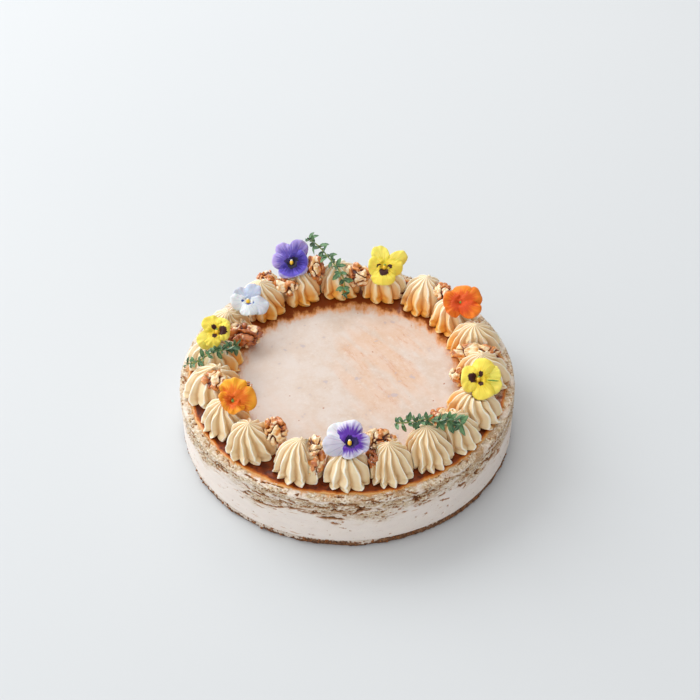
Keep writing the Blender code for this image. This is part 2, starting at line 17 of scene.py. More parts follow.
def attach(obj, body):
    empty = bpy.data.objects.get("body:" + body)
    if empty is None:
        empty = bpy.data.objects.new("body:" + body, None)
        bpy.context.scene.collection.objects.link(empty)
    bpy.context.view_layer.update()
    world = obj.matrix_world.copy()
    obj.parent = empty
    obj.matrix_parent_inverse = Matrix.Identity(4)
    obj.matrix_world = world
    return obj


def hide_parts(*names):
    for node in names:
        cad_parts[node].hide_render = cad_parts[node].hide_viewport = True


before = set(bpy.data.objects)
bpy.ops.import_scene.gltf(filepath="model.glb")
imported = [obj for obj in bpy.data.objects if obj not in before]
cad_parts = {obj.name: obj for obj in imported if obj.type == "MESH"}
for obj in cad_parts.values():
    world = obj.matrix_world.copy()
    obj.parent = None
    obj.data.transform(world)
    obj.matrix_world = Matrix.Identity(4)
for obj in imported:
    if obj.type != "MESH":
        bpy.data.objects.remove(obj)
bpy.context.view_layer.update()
MM = 0.001                          # a millimetre in metres
GAP = 0.3                           # between two pieces that touch
NOISE_SEED = 9                      # without it, vector noise differs from run to run
noise.seed_set(NOISE_SEED)

# Cake body
CAKE_RADIUS = 101.5
BASE_HEIGHT = 5.0
SIDE_INSET = 0.15                   # the straight side lies this far inside the cake's radius
SIDE_FOOT = 1.4                     # and starts this far over the filling's foot
SIDE_TOP = 37.2
SIDE_ROWS = 84
RIM_ROUNDING = 2.2
RIM_TOP = 39.4                      # SIDE_TOP and RIM_ROUNDING together
RIM_START = 99.1                    # radius at which the level rim starts
RIM_ROWS = 6                        # over the rounding, and again over the level rim
CRAG_FOOT = 24.0                    # the crumbly zone of the side starts about this high
CRUMB_DEPTH = 2.0                   # how far the torn side's hollows reach in
LEVEL_SHARE = 0.75                  # relief of the level rim as a share of the side's
ROUND_STEPS = 900
GLAZE_RADIUS = 95.4
GLAZE_TOP = 39.7
GLAZE_THICKNESS = 1.2
GLAZE_SWELL = 0.12                  # the middle of the glaze lies this far over GLAZE_TOP
GLAZE_STEPS = 360

# Piped cream
SWIRL_FLOOR = GLAZE_TOP + GAP
SWIRL_RING_RADIUS = 81.5
SWIRL_GIRTH = 16.2                  # half of a swirl's width round the ring, before it is squeezed
SWIRL_GROOVE = 0.25                 # depth of the grooves as a share of the radius
STEEP_SHARE = 0.28                  # share of a ridge that its steep side takes
SQUEEZE_SHARPNESS = 12              # how abruptly a swirl flattens against its neighbour
POINTS_A_RIDGE = 16
SWIRL_ROWS = 60

# Toppings
CREAM_FLOOR = 40.0                  # the nuts, flowers and sprigs are placed from here
NUT_LUMP = 0.24                     # how far a nut's lobes stand out, as a share of its size
NUT_FOLD = 1.7                      # depth of a nut's folds
NUT_SWELL = 1.1                     # height of the skin between them
PETAL_RINGS = 12
PETAL_POINTS = 44                   # round each of its rings
PETAL_HALF = 0.16                   # half of a petal's thickness
PETAL_OVAL = 0.54                   # half of a petal's oval as a share of its length
PETAL_RISE = 0.8                    # how far the edge of a flower's dish lies above its eye
PETAL_LAYER = 0.75                  # from one petal to the next one over it
PETAL_NOTCH = 0.07                  # depth of the notch in a petal's tip, over its half length
PETAL_RUFFLE = 1.5                  # height of the ruffles towards a petal's edge,
PETAL_CREASE = 0.9                  # and of the creases all over it
STALK_SIZE = (3.5, 0.42, 0.42)
CALYX_POINTS = 16
FLOWER_REACH = 22                   # no petal reaches further than this from its flower's eye
FLOWER_BACK = -4                    # what lies further behind an eye than this stays as it is,
FLOWER_FRONT = 25                   # and so does what lies further in front of it
FLOWER_NEAR = 45                    # a piece gives way to the flowers this near to its middle
PRESS_DEPTH = 0.55                  # cream stays this far behind a flower's dish
PRESS_SLOPE = 1.6                   # and rises this steeply outside it
NUT_SINK = 1.0                      # cream that settles round a nut ends this far inside it,
NUT_SHOWN = 4.0                     # if it would cover the nut by no more than this,
NUT_COVER = 8.0                     # and from here on it stays where it is
PRESSED_GROOVE = 1.3                # depth of the cream's grooves where it is pressed


@dataclass(frozen=True)
class Swirl:
    """One piped swirl: its place, half its size along the cake's radius, and its own habit."""
    angle: float
    reach: float
    height: float
    ridges: int
    lean_out: float = 0.0           # shift of the tip away from the cake's middle
    twist: float = 16.0             # degrees that the ridges turn from foot to tip
    soft: float = 0.1               # 0 for sharp ridges with flat panels, 1 for round fingers


@dataclass(frozen=True)
class Nut:
    """A walnut piece: its middle, its three sizes, its turn about X, Y and Z in degrees."""
    name: str
    place: tuple
    size: tuple
    turn: tuple
    seed: int
    pale: float                     # share of its skin that is broken away


@dataclass(frozen=True)
class Flower:
    """A flower head. Petals are (degrees clockwise from the top one, length, half width, kind)."""
    name: str
    eye: tuple
    tilt: float                     # degrees that the face leans from upright towards the front
    heading: float                  # degrees that it then turns round the vertical
    look: str
    petals: tuple
    wave: float = 0.9               # height of the waves round the whole flower's edge
    ruffle: float = 1.0             # how strongly the petals' own surfaces curl
    stalk: tuple = ()               # middle of a green stalk that lies on the petals
    eye_size: float = 1.0           # size of the knobs in the middle, over their usual size


@dataclass(frozen=True)
class Sprig:
    """A sprig of thyme along a smooth line through its points."""
    name: str
    route: tuple
    leaf_pairs: int
    first: float                    # size of the leaves at the first point and at the last one
    last: float
    seed: int


SWIRLS = (
    Swirl(0.0, 14.2, 19, 10, -1.0, 12, 0.3),
    Swirl(16.6, 14.5, 21, 14, -1.5, 8),
    Swirl(34.5, 14.5, 22, 14, -3.0, 10),
    Swirl(49.5, 15.5, 19, 12, -1.0),
    Swirl(65.0, 17.2, 20, 12, 0.0, 12, 0.2),
    Swirl(87.0, 17.5, 20, 12, -1.5, 20, 0.2),
    Swirl(106.5, 17.2, 19, 13, 0.0, 24, 0.2),
    Swirl(125.0, 15.5, 19, 11, 0.0, 20, 0.5),
    Swirl(142.5, 15.5, 21, 11, 1.5, 12, 0.5),
    Swirl(163.5, 15.5, 19, 10, 0.0, 16, 0.7),
    Swirl(183.0, 15.5, 20, 10, 0.0, 16, 0.7),
    Swirl(202.0, 15.5, 20, 10, 0.0, 10, 0.6),
    Swirl(221.0, 15.5, 21, 12, 1.0, 24, 0.4),
    Swirl(244.0, 15.5, 20, 12, 0.0, 22, 0.4),
    Swirl(262.0, 17.5, 19, 11, -1.5, 20, 0.5),
    Swirl(280.0, 18.0, 20, 11, -3.0, 20, 0.2),
    Swirl(300.0, 15.0, 19, 12, 0.0, 14),
    Swirl(317.2, 15.0, 21, 12, 1.0, 18),
    Swirl(340.5, 14.5, 22, 12, -2.5, 18),
)

NUTS = (
    Nut("nut_01_wedge", (13.6, -77.0, 8.5), (6, 18, 11), (-30, 0, 8), 3, 0.1),
    Nut("nut_02_top", (17.5, -68.0, 14.5), (20, 12, 11), (0, 10, 8), 11, 0.75),
    Nut("nut_03_side", (53.0, -46.5, 8.5), (17, 12, 12), (0, 20, 40), 17, 0.4),
    Nut("nut_05_small", (65.4, -8.6, 7.0), (9, 10, 8), (0, 0, 20), 23, 0.4),
    Nut("nut_06_long", (77.5, 9.6, 9.0), (29, 10, 9), (0, 8, 8), 31, 0.6),
    Nut("nut_08_back", (60.6, 60.0, 13.0), (13, 11, 11), (10, 0, 40), 37, 0.5),
    Nut("nut_10_pale", (7.2, 77.0, 13.0), (16, 15, 15), (0, 0, 0), 41, 0.75),
    Nut("nut_11_tall", (-20.6, 79.5, 14.5), (13, 14, 22), (-14, 8, 0), 47, 0.3),
    Nut("nut_12_front", (-38.0, 67.5, 12.0), (16, 11, 10), (30, 0, -10), 53, 0.7),
    Nut("nut_13_side", (-51.2, 77.0, 9.5), (13, 11, 11), (0, 0, 30), 59, 0.5),
    Nut("nut_14_dark", (-64.5, 27.5, 8.0), (25, 14, 14), (0, -6, -16), 61, 0.15),
    Nut("nut_16_top", (-78.0, -19.8, 14.5), (15, 12, 10), (0, 0, -10), 67, 0.6),
    Nut("nut_16_chip", (-61.0, -14.0, 4.2), (8, 7, 7), (0, 0, 0), 71, 0.3),
    Nut("nut_18_curl", (-41.4, -59.0, 11.5), (15, 14, 18), (-12, 0, 0), 73, 0.6),
    Nut("nut_19_wedge", (-18.7, -78.0, 11.0), (11, 24, 10), (33, 0, -3), 79, 0.4),
)

# The smooth flake left at the rim, front left: where it fades in and where it fades out round the
# cake, and from which climb on it lies
FLAKE_START, FLAKE_END, FLAKE_FOOT = (-36, -34.5), (-25, -21), (41.8, 42.6)

# The side's widest cracks, torn holes and marks, each from its left end to its right one: degrees
# round the cake and climb at both ends, half its width, and how deep it is and how dark its painted
# shade is. The climb is a place's height, and over the rim its way in towards the glaze as well.
CRACKS = (
    (-40.7, 37.9, -37.2, 37.0, 0.6, 0.7), (-36.5, 33.6, -33.7, 31.7, 0.7, 0.8),
    (-35.9, 42.1, -30.8, 41.5, 0.6, 1.0), (-30.8, 41.5, -26.4, 43.6, 0.6, 1.0),
    (-26.4, 43.6, -21.8, 43.4, 0.6, 1.0), (-33.0, 31.5, -28.0, 31.4, 0.7, 0.9),
    (-27.1, 36.5, -24.3, 37.2, 0.7, 0.7), (-22.6, 32.6, -19.9, 32.0, 0.6, 0.9),
    (-19.5, 34.8, -17.1, 32.9, 0.5, 0.8), (-17.4, 37.9, -12.8, 37.6, 0.6, 1.0),
    (-15.5, 31.2, -13.5, 31.8, 0.5, 0.5), (-10.3, 33.5, -6.1, 33.8, 0.6, 0.9),
    (-5.8, 37.7, -3.5, 36.3, 0.8, 1.0), (-4.3, 43.3, -1.4, 42.7, 0.9, 1.0),
    (-3.5, 35.9, 3.1, 36.7, 0.8, 1.0), (2.4, 35.9, 4.3, 31.4, 0.9, 1.0),
    (7.3, 40.0, 9.8, 36.7, 0.8, 1.0), (11.7, 42.3, 14.7, 41.8, 0.6, 0.7),
    (15.0, 39.3, 17.0, 39.0, 0.5, 0.6), (20.0, 41.2, 22.4, 37.0, 0.6, 0.7),
    (22.4, 37.0, 23.9, 31.6, 0.5, 0.7), (25.1, 26.2, 28.4, 26.6, 0.6, 0.7),
    (25.3, 34.6, 27.4, 36.9, 0.5, 0.7), (30.8, 35.3, 34.4, 35.6, 0.6, 0.7),
    (31.1, 23.0, 35.2, 20.9, 0.6, 0.6), (45.1, 21.0, 47.1, 20.7, 0.6, 0.7),
    (48.8, 30.3, 51.6, 30.4, 0.6, 0.8), (53.5, 37.7, 58.9, 35.9, 0.6, 0.7),
    (58.9, 35.9, 64.8, 34.6, 0.7, 0.8),
    (-37.9, 20.7, -36.6, 19.7, 0.7, 0.3), (-16.2, 27.4, -15.6, 27.7, 1.6, 0.3),
    (-13.2, 8.8, -10.5, 8.2, 0.5, 0.3), (-3.6, 17.8, -0.8, 16.2, 0.5, 0.3),
    (-2.0, 24.9, -1.7, 21.4, 0.6, 0.3), (0.2, 14.4, 1.5, 13.9, 0.5, 0.3),
)

UPPER, SIDE, LOWER = 0.0, 1.0, 2.0  # kinds of petal

FLOWERS = (
    Flower("flower_violet", (-34.8, 78.6, 22.2), 32, 4, "petal_violet",
           ((-27, 15.5, 5.3, UPPER), (29, 16.5, 6.3, UPPER), (-77, 13, 6, UPPER),
            (72, 11, 6.5, SIDE), (173, 10.8, 9.4, LOWER))),
    Flower("flower_yellow_back", (24, 74.5, 21.5), 38, -6, "petal_yellow",
           ((-23, 15, 5.6, UPPER), (55, 16.5, 5, UPPER), (-88, 10.5, 6.5, SIDE),
            (86, 12, 5.6, SIDE), (183, 12.8, 7.6, LOWER))),
    Flower("flower_orange_right", (70.0, 41, 21), 26, -10, "petal_orange",
           ((3, 11.5, 7.2, UPPER), (60, 14, 6.4, UPPER), (-88, 11, 6.4, SIDE),
            (124, 15, 6.6, LOWER), (-146, 11.5, 5.2, SIDE)), 1.3, 1.3, eye_size=0.55),
    Flower("flower_yellow_right", (76.5, -26.5, 20.5), 26, -8, "petal_yellow",
           ((16, 13.4, 7, SIDE), (60, 14, 6, UPPER), (-92, 10.6, 8.4, LOWER),
            (108, 14.8, 6, UPPER), (152, 14, 7, SIDE)), stalk=(8.4, -0.5, 2.5)),
    Flower("flower_white_violet", (1, -76.5, 20.5), 24, 4, "petal_white_violet",
           ((-42, 15.6, 6.6, UPPER), (5, 13.6, 7, SIDE), (-94, 16, 6.4, UPPER),
            (98, 11.8, 6, LOWER), (158, 9.8, 7, SIDE))),
    Flower("flower_orange_left", (-66, -42.5, 20.5), 26, 8, "petal_amber",
           ((10, 14.4, 8, UPPER), (88, 14.4, 7.2, UPPER), (-52, 8.6, 4.4, SIDE),
            (-117, 7.4, 4.2, SIDE), (164, 9.4, 5.2, LOWER)), 1.3, 1.7, eye_size=0.7),
    Flower("flower_yellow_left", (-78.5, 15.5, 21), 24, 8, "petal_yellow",
           ((-25, 11.6, 6, SIDE), (40, 10, 5.4, UPPER), (100, 8.4, 6.2, LOWER),
            (-123, 14.4, 5.6, UPPER), (-152, 11.5, 5, SIDE))),
    Flower("flower_white_blue", (-61, 43.5, 20.5), 24, 10, "petal_white_blue",
           ((-28, 11.5, 5.4, UPPER), (31, 13, 5.4, UPPER), (-84, 11, 5.4, SIDE),
            (123, 14, 6, SIDE), (180, 11, 6, LOWER))),
)

SPRIGS = (
    Sprig("thyme_back", ((-24, 97, 26.5), (-18, 91, 26), (-10.5, 80, 24), (-5, 73, 21),
                         (-1.7, 68, 16), (-2.2, 63.6, 9)), 11, 1.05, 0.8, 5),
    Sprig("thyme_left", ((-96, -0.5, 10), (-90, -3, 14), (-84, -1, 17), (-79, 1, 19),
                         (-74, 2, 19), (-68, 7.5, 17)), 12, 0.65, 0.9, 7),
    Sprig("thyme_right", ((27.5, -59.5, 19), (36.4, -60.5, 20.5), (43.8, -60, 22.5),
                          (50, -61, 21.5), (56.5, -58, 19.5), (63.8, -60.5, 20)), 12, 0.7, 1.25, 9),
)


# Node trees --------------------------------------------------------------------------------

def tint(red, green, blue):
    """A colour as a screen shows it, 0 to 255, as the light values that the shader takes."""
    return (*[((part / 255 + 0.055) / 1.055) ** 2.4 for part in (red, green, blue)], 1.0)


class Value:
    """What one output of a node gives. Arithmetic on it adds Math nodes."""

    def __init__(self, nodes, socket):
        self.nodes = nodes
        self.socket = socket

    def __add__(self, other):
        return self.nodes.maths("ADD", self, other)

    def __radd__(self, other):
        return self.nodes.maths("ADD", other, self)

    def __sub__(self, other):
        return self.nodes.maths("SUBTRACT", self, other)

    def __rsub__(self, other):
        return self.nodes.maths("SUBTRACT", other, self)

    def __mul__(self, other):
        return self.nodes.maths("MULTIPLY", self, other)

    def __rmul__(self, other):
        return self.nodes.maths("MULTIPLY", other, self)

    def __truediv__(self, other):
        return self.nodes.maths("DIVIDE", self, other)

    def __rtruediv__(self, other):
        return self.nodes.maths("DIVIDE", other, self)

    def __pow__(self, other):
        return self.nodes.maths("POWER", self, other)

    def __abs__(self):
        return self.nodes.maths("ABSOLUTE", self)


class Nodes:
    """Adds nodes to one tree."""

    def __init__(self, tree):
        self.tree = tree

    def add(self, kind, settings=None, inputs=None, output=0):
        """A new node, with its settings made first and its inputs set or linked after that.

        A list links several values to one input.
        """
        node = self.tree.nodes.new(kind)
        for name, value in (settings or {}).items():
            if name == "stops":
                set_stops(node.color_ramp, value)
            elif name == "curve":
                set_curve(node.mapping, value)
            else:
                setattr(node, name, value)
        for key, given in (inputs or {}).items():
            for value in given if isinstance(given, list) else [given]:
                if isinstance(value, Value):
                    self.tree.links.new(value.socket, node.inputs[key])
                else:
                    node.inputs[key].default_value = value
        return Value(self, node.outputs[output])

    def maths(self, operation, *values):
        return self.add("ShaderNodeMath", {"operation": operation}, dict(enumerate(values)))

    def vectors(self, operation, *values):
        return self.add("ShaderNodeVectorMath", {"operation": operation}, dict(enumerate(values)))

    def smooth(self, value, low, high):
        """0 below low, 1 above high, and an even rise between them."""
        inputs = {"Value": value, "From Min": low, "From Max": high}
        return self.add("ShaderNodeMapRange", {"interpolation_type": "SMOOTHSTEP"}, inputs)

    def mix(self, factor, first, second):
        """A colour between two others. A plain one is three values from 0 to 255."""
        first, second = [tint(*colour) if isinstance(colour, tuple) else colour
                         for colour in (first, second)]
        return self.add("ShaderNodeMix", {"data_type": "RGBA"}, {0: factor, 6: first, 7: second}, 2)

    def coats(self, colour, *coats):
        """A colour with others laid over it in turn, each after how much of it shows."""
        for share, over in coats:
            colour = self.mix(share, colour, over)
        return colour

    def attribute(self, name):
        return self.add("ShaderNodeAttribute", {"attribute_name": name}, output=2)

    def here(self):
        """The place on the piece, in metres."""
        return self.add("ShaderNodeTexCoord", output=3)

    def grain(self, size, place, detail=2.0, roughness=0.5):
        """Soft noise from 0 to 1 whose lumps are about a size in millimetres."""
        inputs = {"Vector": place, "Scale": 1 / (size * MM), "Detail": detail,
                  "Roughness": roughness}
        return self.add("ShaderNodeTexNoise", {}, inputs)

    def spots(self, size, place, low, high, detail=2.0, roughness=0.5):
        """Patches of 1 on 0, with soft edges where the noise lies between low and high."""
        return self.smooth(self.grain(size, place, detail, roughness), low, high)

    def parts(self, place):
        """A place's X, Y and Z."""
        return [self.add("ShaderNodeSeparateXYZ", {}, {"Vector": place}, axis) for axis in range(3)]

    def joined(self, x, y=0.0, z=0.0):
        return self.add("ShaderNodeCombineXYZ", {}, {"X": x, "Y": y, "Z": z})

    def stretched(self, place, x, y, z):
        return self.add("ShaderNodeMapping", {}, {"Vector": place, "Scale": (x, y, z)})


def set_stops(ramp, stops):
    """Stops are (position, colour)."""
    while len(ramp.elements) < len(stops):
        ramp.elements.new(1.0)
    for element, (position, colour) in zip(ramp.elements, stops):
        element.position = position
        element.color = colour


def set_curve(mapping, points):
    """One smooth curve through points that start at x = 0 and end at x = 1."""
    curve = mapping.curves[0]
    for x, y in points[1:-1]:
        curve.points.new(x, y)
    for point, (x, y) in zip(curve.points, points):
        point.location = (x, y)
    mapping.update()


class Recipe(Nodes):
    """A geometry tree with named inputs for its sizes."""

    def __init__(self, name):
        super().__init__(bpy.data.node_groups.new(name, "GeometryNodeTree"))
        for way in ("INPUT", "OUTPUT"):
            self.tree.interface.new_socket("Geometry", in_out=way,
                                           socket_type="NodeSocketGeometry")
        self.start = self.tree.nodes.new("NodeGroupInput")

    def base(self):
        return Value(self, self.start.outputs["Geometry"])

    def size(self, name, value=0.0):
        """A named input, a whole number or not, as its usual value is."""
        kind = "NodeSocketInt" if isinstance(value, int) else "NodeSocketFloat"
        self.tree.interface.new_socket(name, in_out="INPUT", socket_type=kind).default_value = value
        return Value(self, self.start.outputs[name])

    def store(self, geometry, name, value):
        inputs = {"Geometry": geometry, "Name": name, "Value": value}
        return self.add("GeometryNodeStoreNamedAttribute", {"data_type": "FLOAT"}, inputs)

    def wave(self, place, seed, scale):
        """Soft noise round 0, different for each seed."""
        inputs = {"Vector": place, "W": seed, "Scale": scale, "Detail": 1.0}
        return self.add("ShaderNodeTexNoise", {"noise_dimensions": "4D"}, inputs) - 0.5

    def chance(self, seed):
        """A number from 0 to 1 for each point."""
        return self.add("FunctionNodeRandomValue", {}, {2: 0.0, 3: 1.0, 8: seed}, 1)

    def moved(self, geometry, **where):
        """Geometry with a new Position or an Offset."""
        return self.add("GeometryNodeSetPosition", {}, {"Geometry": geometry, **where})

    def dressed(self, geometry, material):
        inputs = {"Geometry": geometry, "Material": material}
        return self.add("GeometryNodeSetMaterial", {}, inputs)

    def end(self, geometry, material=None):
        """The tree's result, in one material unless its parts have their own."""
        whole = self.add("GeometryNodeRealizeInstances", {}, {"Geometry": geometry})
        if material:
            whole = self.dressed(whole, material)
        last = self.tree.nodes.new("NodeGroupOutput")
        self.tree.links.new(whole.socket, last.inputs["Geometry"])


def grow(recipe, start, sizes):
    """Run a recipe on a mesh, and give the plain mesh that it makes."""
    holder = bpy.data.objects.new(recipe.tree.name, start)
    bpy.context.scene.collection.objects.link(holder)
    modifier = holder.modifiers.new("recipe", "NODES")
    modifier.node_group = recipe.tree
    for socket in recipe.tree.interface.items_tree:
        if socket.in_out == "INPUT" and socket.name in sizes:
            modifier[socket.identifier] = sizes[socket.name]
    graph = bpy.context.evaluated_depsgraph_get()
    mesh = bpy.data.meshes.new_from_object(holder.evaluated_get(graph), depsgraph=graph)
    holder.modifiers.clear()
    bpy.data.objects.remove(holder)
    return mesh


# Materials ---------------------------------------------------------------------------------

class Shade(Nodes):
    """A material: its shader has values that are the same all over, a colour and a relief."""

    def __init__(self, name, **constants):
        self.material = bpy.data.materials.new(name)
        self.material.use_nodes = True
        super().__init__(self.material.node_tree)
        self.shader = self.tree.nodes["Principled BSDF"]
        for socket, value in constants.items():
            self.shader.inputs[socket.replace("_", " ")].default_value = value

    def paint(self, colour, relief=None, distance=0.0, strength=1.0):
        """Link the colour, and a relief too fine for the mesh with its height in millimetres."""
        self.tree.links.new(colour.socket, self.shader.inputs["Base Color"])
        if relief:
            inputs = {"Height": relief, "Distance": distance * MM, "Strength": strength}
            bump = self.add("ShaderNodeBump", {}, inputs)
            self.tree.links.new(bump.socket, self.shader.inputs["Normal"])
        return self.material


def cream_look():
    """Whipped cream: a painted highlight on the sharp ridges, warm and soft painted shade down in
    the grooves, and a painted warm glow of bounced light low on the faces turned to the middle.
    """
    look = Shade("piped_cream", Roughness=0.48, Subsurface_Weight=0.2, Subsurface_Scale=1.0 * MM,
                 Subsurface_Radius=(1.0, 0.65, 0.35), IOR=1.42)
    place = look.here()
    groove = look.attribute("groove")
    # Painted light: a highlight on the ridges, shade on the panels and deeper in the grooves, and a
    # warm glow of bounced light low on the faces turned to the cake's middle.
    inward = look.smooth(look.attribute("inward"), 0.0, 0.8)
    crest_highlight = look.mix(inward, (255, 250, 234), (252, 220, 158))
    panel = look.mix(inward, (238, 215, 174), (244, 174, 72))
    deep = look.mix(inward, (204, 160, 104), (208, 118, 28))
    patchy = 0.6 + 0.5 * look.grain(9, place)
    colour = look.coats(crest_highlight, (look.smooth(groove, 0.0, 0.26), panel),
                        (look.smooth(groove, 0.5, 1.0) * patchy, deep))
    return look.paint(colour, look.grain(0.9, place, 4.0, 0.6), 0.12, 0.5)


def filling_look():
    """Baked cheese: smooth and pale below, torn above, with brown painted shade in its hollows."""
    look = Shade("baked_filling", Roughness=0.75, Specular_IOR_Level=0.2, Subsurface_Weight=0.15,
                 Subsurface_Scale=1.5 * MM, Subsurface_Radius=(1.0, 0.7, 0.5))
    place = look.here()
    x, y, _z = look.parts(place)
    torn = look.attribute("torn")
    layers = look.stretched(place, 1, 1, 3.2)
    frayed = look.grain(1.6, layers, 5.0, 0.75) - 0.5
    hollow = look.attribute("hollow") * (1 + 1.6 * frayed) + 0.25 * frayed * torn
    pale = look.mix(look.grain(14, layers), (231, 220, 212), (242, 232, 223))
    crumb = look.mix(look.spots(2.0, layers, 0.35, 0.62, 4.0, 0.6),
                     (244, 233, 216), (202, 178, 144))
    # Painted light: fewer brown marks towards the lit left
    browned_and_lit = torn * (0.4 + 0.6 * look.smooth(x, -0.09, -0.02))  # less towards the left
    stain = look.spots(9, layers, 0.48, 0.62, 5.0, 0.65)
    streak = look.spots(3.2, layers, 0.54, 0.64, 5.0, 0.7)
    smear = look.spots(6, look.stretched(place, 0.6, 0.6, 3.5), 0.66, 0.74)
    fleck = look.spots(2.2, place, 0.68, 0.76)
    ragged_radius = look.maths("SQRT", x * x + y * y) / MM \
        + 12 * (look.grain(6, place, 5.0, 0.7) - 0.5)
    body = look.coats(
        look.mix(torn, pale, crumb),
        (stain * browned_and_lit * 0.65, (182, 136, 88)),
        (streak * browned_and_lit * 0.7, (140, 92, 52)),
        # Painted shade in the hollows and cracks, and brown specks on the smooth side
        (look.smooth(hollow, 0.06, 0.34) * 0.9, (170, 114, 66)),
        (look.smooth(hollow, 0.42, 0.95), (104, 60, 32)),
        ((1 - look.smooth(ragged_radius, 95.2, 97.8)) * 0.8, (218, 150, 74)),
        (smear * (1 - torn) * 0.6, (196, 146, 96)),
        (fleck * (1 - torn) * 0.5, (186, 142, 120)))
    return look.paint(body, look.grain(0.9, place, 5.0, 0.75) * (0.55 + torn), 0.4, 0.8)


def biscuit_look():
    """Pressed crumb base, dark brown with lighter grains and smeared with cheese at the left."""
    look = Shade("pressed_biscuit", Roughness=0.85)
    place = look.here()
    x, _y, z = look.parts(place)
    grains = look.grain(1.6, place, 4.0, 0.7)
    stops = [(0.3, tint(58, 34, 20)), (0.5, tint(112, 72, 44)), (0.72, tint(176, 132, 88))]
    colour = look.add("ShaderNodeValToRGB", {"stops": stops}, {"Fac": grains})
    ragged = 12 * (look.grain(13, place, 4.0, 0.65) - 0.5) + 4 * (look.grain(1.6, place) - 0.5)
    smear = look.smooth(z / MM + ragged - 25 * x, 3.0, 4.0)
    return look.paint(look.mix(smear * 0.9, colour, (224, 211, 196)), grains, 0.5, 0.9)


# The warm heart of the glaze, right of its middle: its own middle and half its width and length
HEART_X, HEART_Y, HEART_WIDTH, HEART_LENGTH = 22, 10, 30, 42
STREAK_TURN = -0.96                 # radians between the cake's X axis and the glaze's streaks


def glaze_look():
    """Set caramel: a painted reflection of a bright window makes its middle pale and streaked, and
    its own deep brown shows towards the edge, where it thins.
    """
    look = Shade("caramel_glaze_look", Roughness=0.4, Coat_Weight=0.4, Coat_Roughness=0.08,
                 Coat_IOR=1.45, Specular_IOR_Level=0.15)
    place = look.here()
    x, y, _z = look.parts(place)
    radius = look.maths("SQRT", x * x + y * y) / MM
    drift = look.add("ShaderNodeMapping", {"vector_type": "TEXTURE"}, {
        "Vector": place, "Rotation": (0, 0, STREAK_TURN), "Scale": (3.2, 0.9, 1)})
    aside = (x / MM - HEART_X) / HEART_WIDTH
    beyond = (y / MM - HEART_Y) / HEART_LENGTH
    heart = 1 - look.smooth(aside * aside + beyond * beyond, 0.1, 1.6)
    veil = look.smooth(look.grain(16, drift, 3.0, 0.6) + 0.16 * heart, 0.46, 0.68)
    streak = look.spots(6, drift, 0.50, 0.80, 7.0, 0.8)
    # The middle: a painted reflection of a bright window, mottled, brighter towards the left, with
    # warm veils and streaks in its heart, and pale, lilac and brown spots
    middle = look.coats(
        look.mix(look.spots(14, place, 0.36, 0.66, 8.0, 0.78), (211, 198, 189), (203, 181, 163)),
        (veil * (0.16 + 0.26 * heart), (220, 168, 124)),
        ((1 - look.smooth(x, -0.065, 0.005)) * 0.45, (232, 220, 211)),
        (streak * (0.2 + 0.8 * veil) * heart, (190, 112, 58)),
        (look.spots(2.4, place, 0.54, 0.68, 4.0, 0.75) * 0.3, (226, 214, 204)),
        (look.spots(7, place, 0.66, 0.74, 2.0, 0.6) * 0.55, (178, 168, 180)),
        (look.spots(3.0, place, 0.76, 0.81, 1.0) * 0.8, (160, 84, 44)))
    # Where the painted reflection ends and the caramel's own brown shows: sooner at the back, and
    # with brown runs that point at the middle.
    wander = look.grain(22, place, 3.0, 0.6) - 0.5
    runs = look.grain(9, look.stretched(place, 2.6, 0.8, 1), 4.0, 0.62) - 0.5
    ragged = radius + 8 * wander + 16 * (look.grain(9, place, 5.0, 0.62) - 0.5) + 100 * y \
        + 15 * runs
    ring = look.coats(
        look.mix(look.spots(5, place, 0.4, 0.62, 4.0, 0.65), (78, 24, 5), (126, 50, 10)),
        # Patches of the same painted reflection on the right
        (look.spots(13, place, 0.46, 0.56, 6.0, 0.7) * look.smooth(x, 0.062, 0.084) * 0.85,
         (216, 178, 150)))
    outer = look.smooth(radius, 84, 88)
    thin = look.attribute("inset") + 5 * (look.grain(9, place, 5.0, 0.6) - 0.5)
    colour = look.coats(
        middle,
        (look.smooth(ragged, 61.5, 70), (212, 142, 80)),
        (look.smooth(ragged, 67, 73), (122, 52, 14)),
        (outer, ring),
        ((1 - look.smooth(thin, 1.3, 2.9)) * outer, (190, 98, 18)),
        ((1 - look.smooth(thin, 0.2, 1.6)) * outer * 0.85, (224, 174, 106)))
    return look.paint(colour, look.grain(13, place, 5.0, 0.6), 0.4, 0.4)


def walnut_look():
    """Candied walnut: amber skin, folds darkened by their own deeper brown and by painted shade,
    and cream where it is broken.
    """
    look = Shade("candied_walnut_look", Roughness=0.3, Coat_Weight=1.0, Coat_Roughness=0.08,
                 Subsurface_Weight=0.12, Subsurface_Scale=1.5 * MM,
                 Subsurface_Radius=(1.0, 0.5, 0.2))
    place = look.here()
    fold = look.attribute("fold")
    mottle = look.grain(3.2, place, 4.0, 0.6)
    even = look.smooth(mottle, 0.3, 0.7)
    honey = look.mix(even, (184, 90, 24), (232, 152, 66))
    toffee = look.mix(even, (128, 50, 16), (202, 108, 42))
    flesh = look.mix(look.smooth(mottle, 0.35, 0.7), (253, 236, 202), (240, 180, 96))
    colour = look.coats(
        honey, (look.attribute("toast"), toffee), (look.attribute("broken"), flesh),
        # Dark folds: their own deeper brown and painted shade
        (look.smooth(fold, 0.06, 0.44) * 0.9, (150, 66, 16)),
        (look.smooth(fold, 0.5, 0.9), (84, 32, 10)))
    return look.paint(colour, look.grain(0.9, place, 4.0, 0.65), 0.25, 0.6)


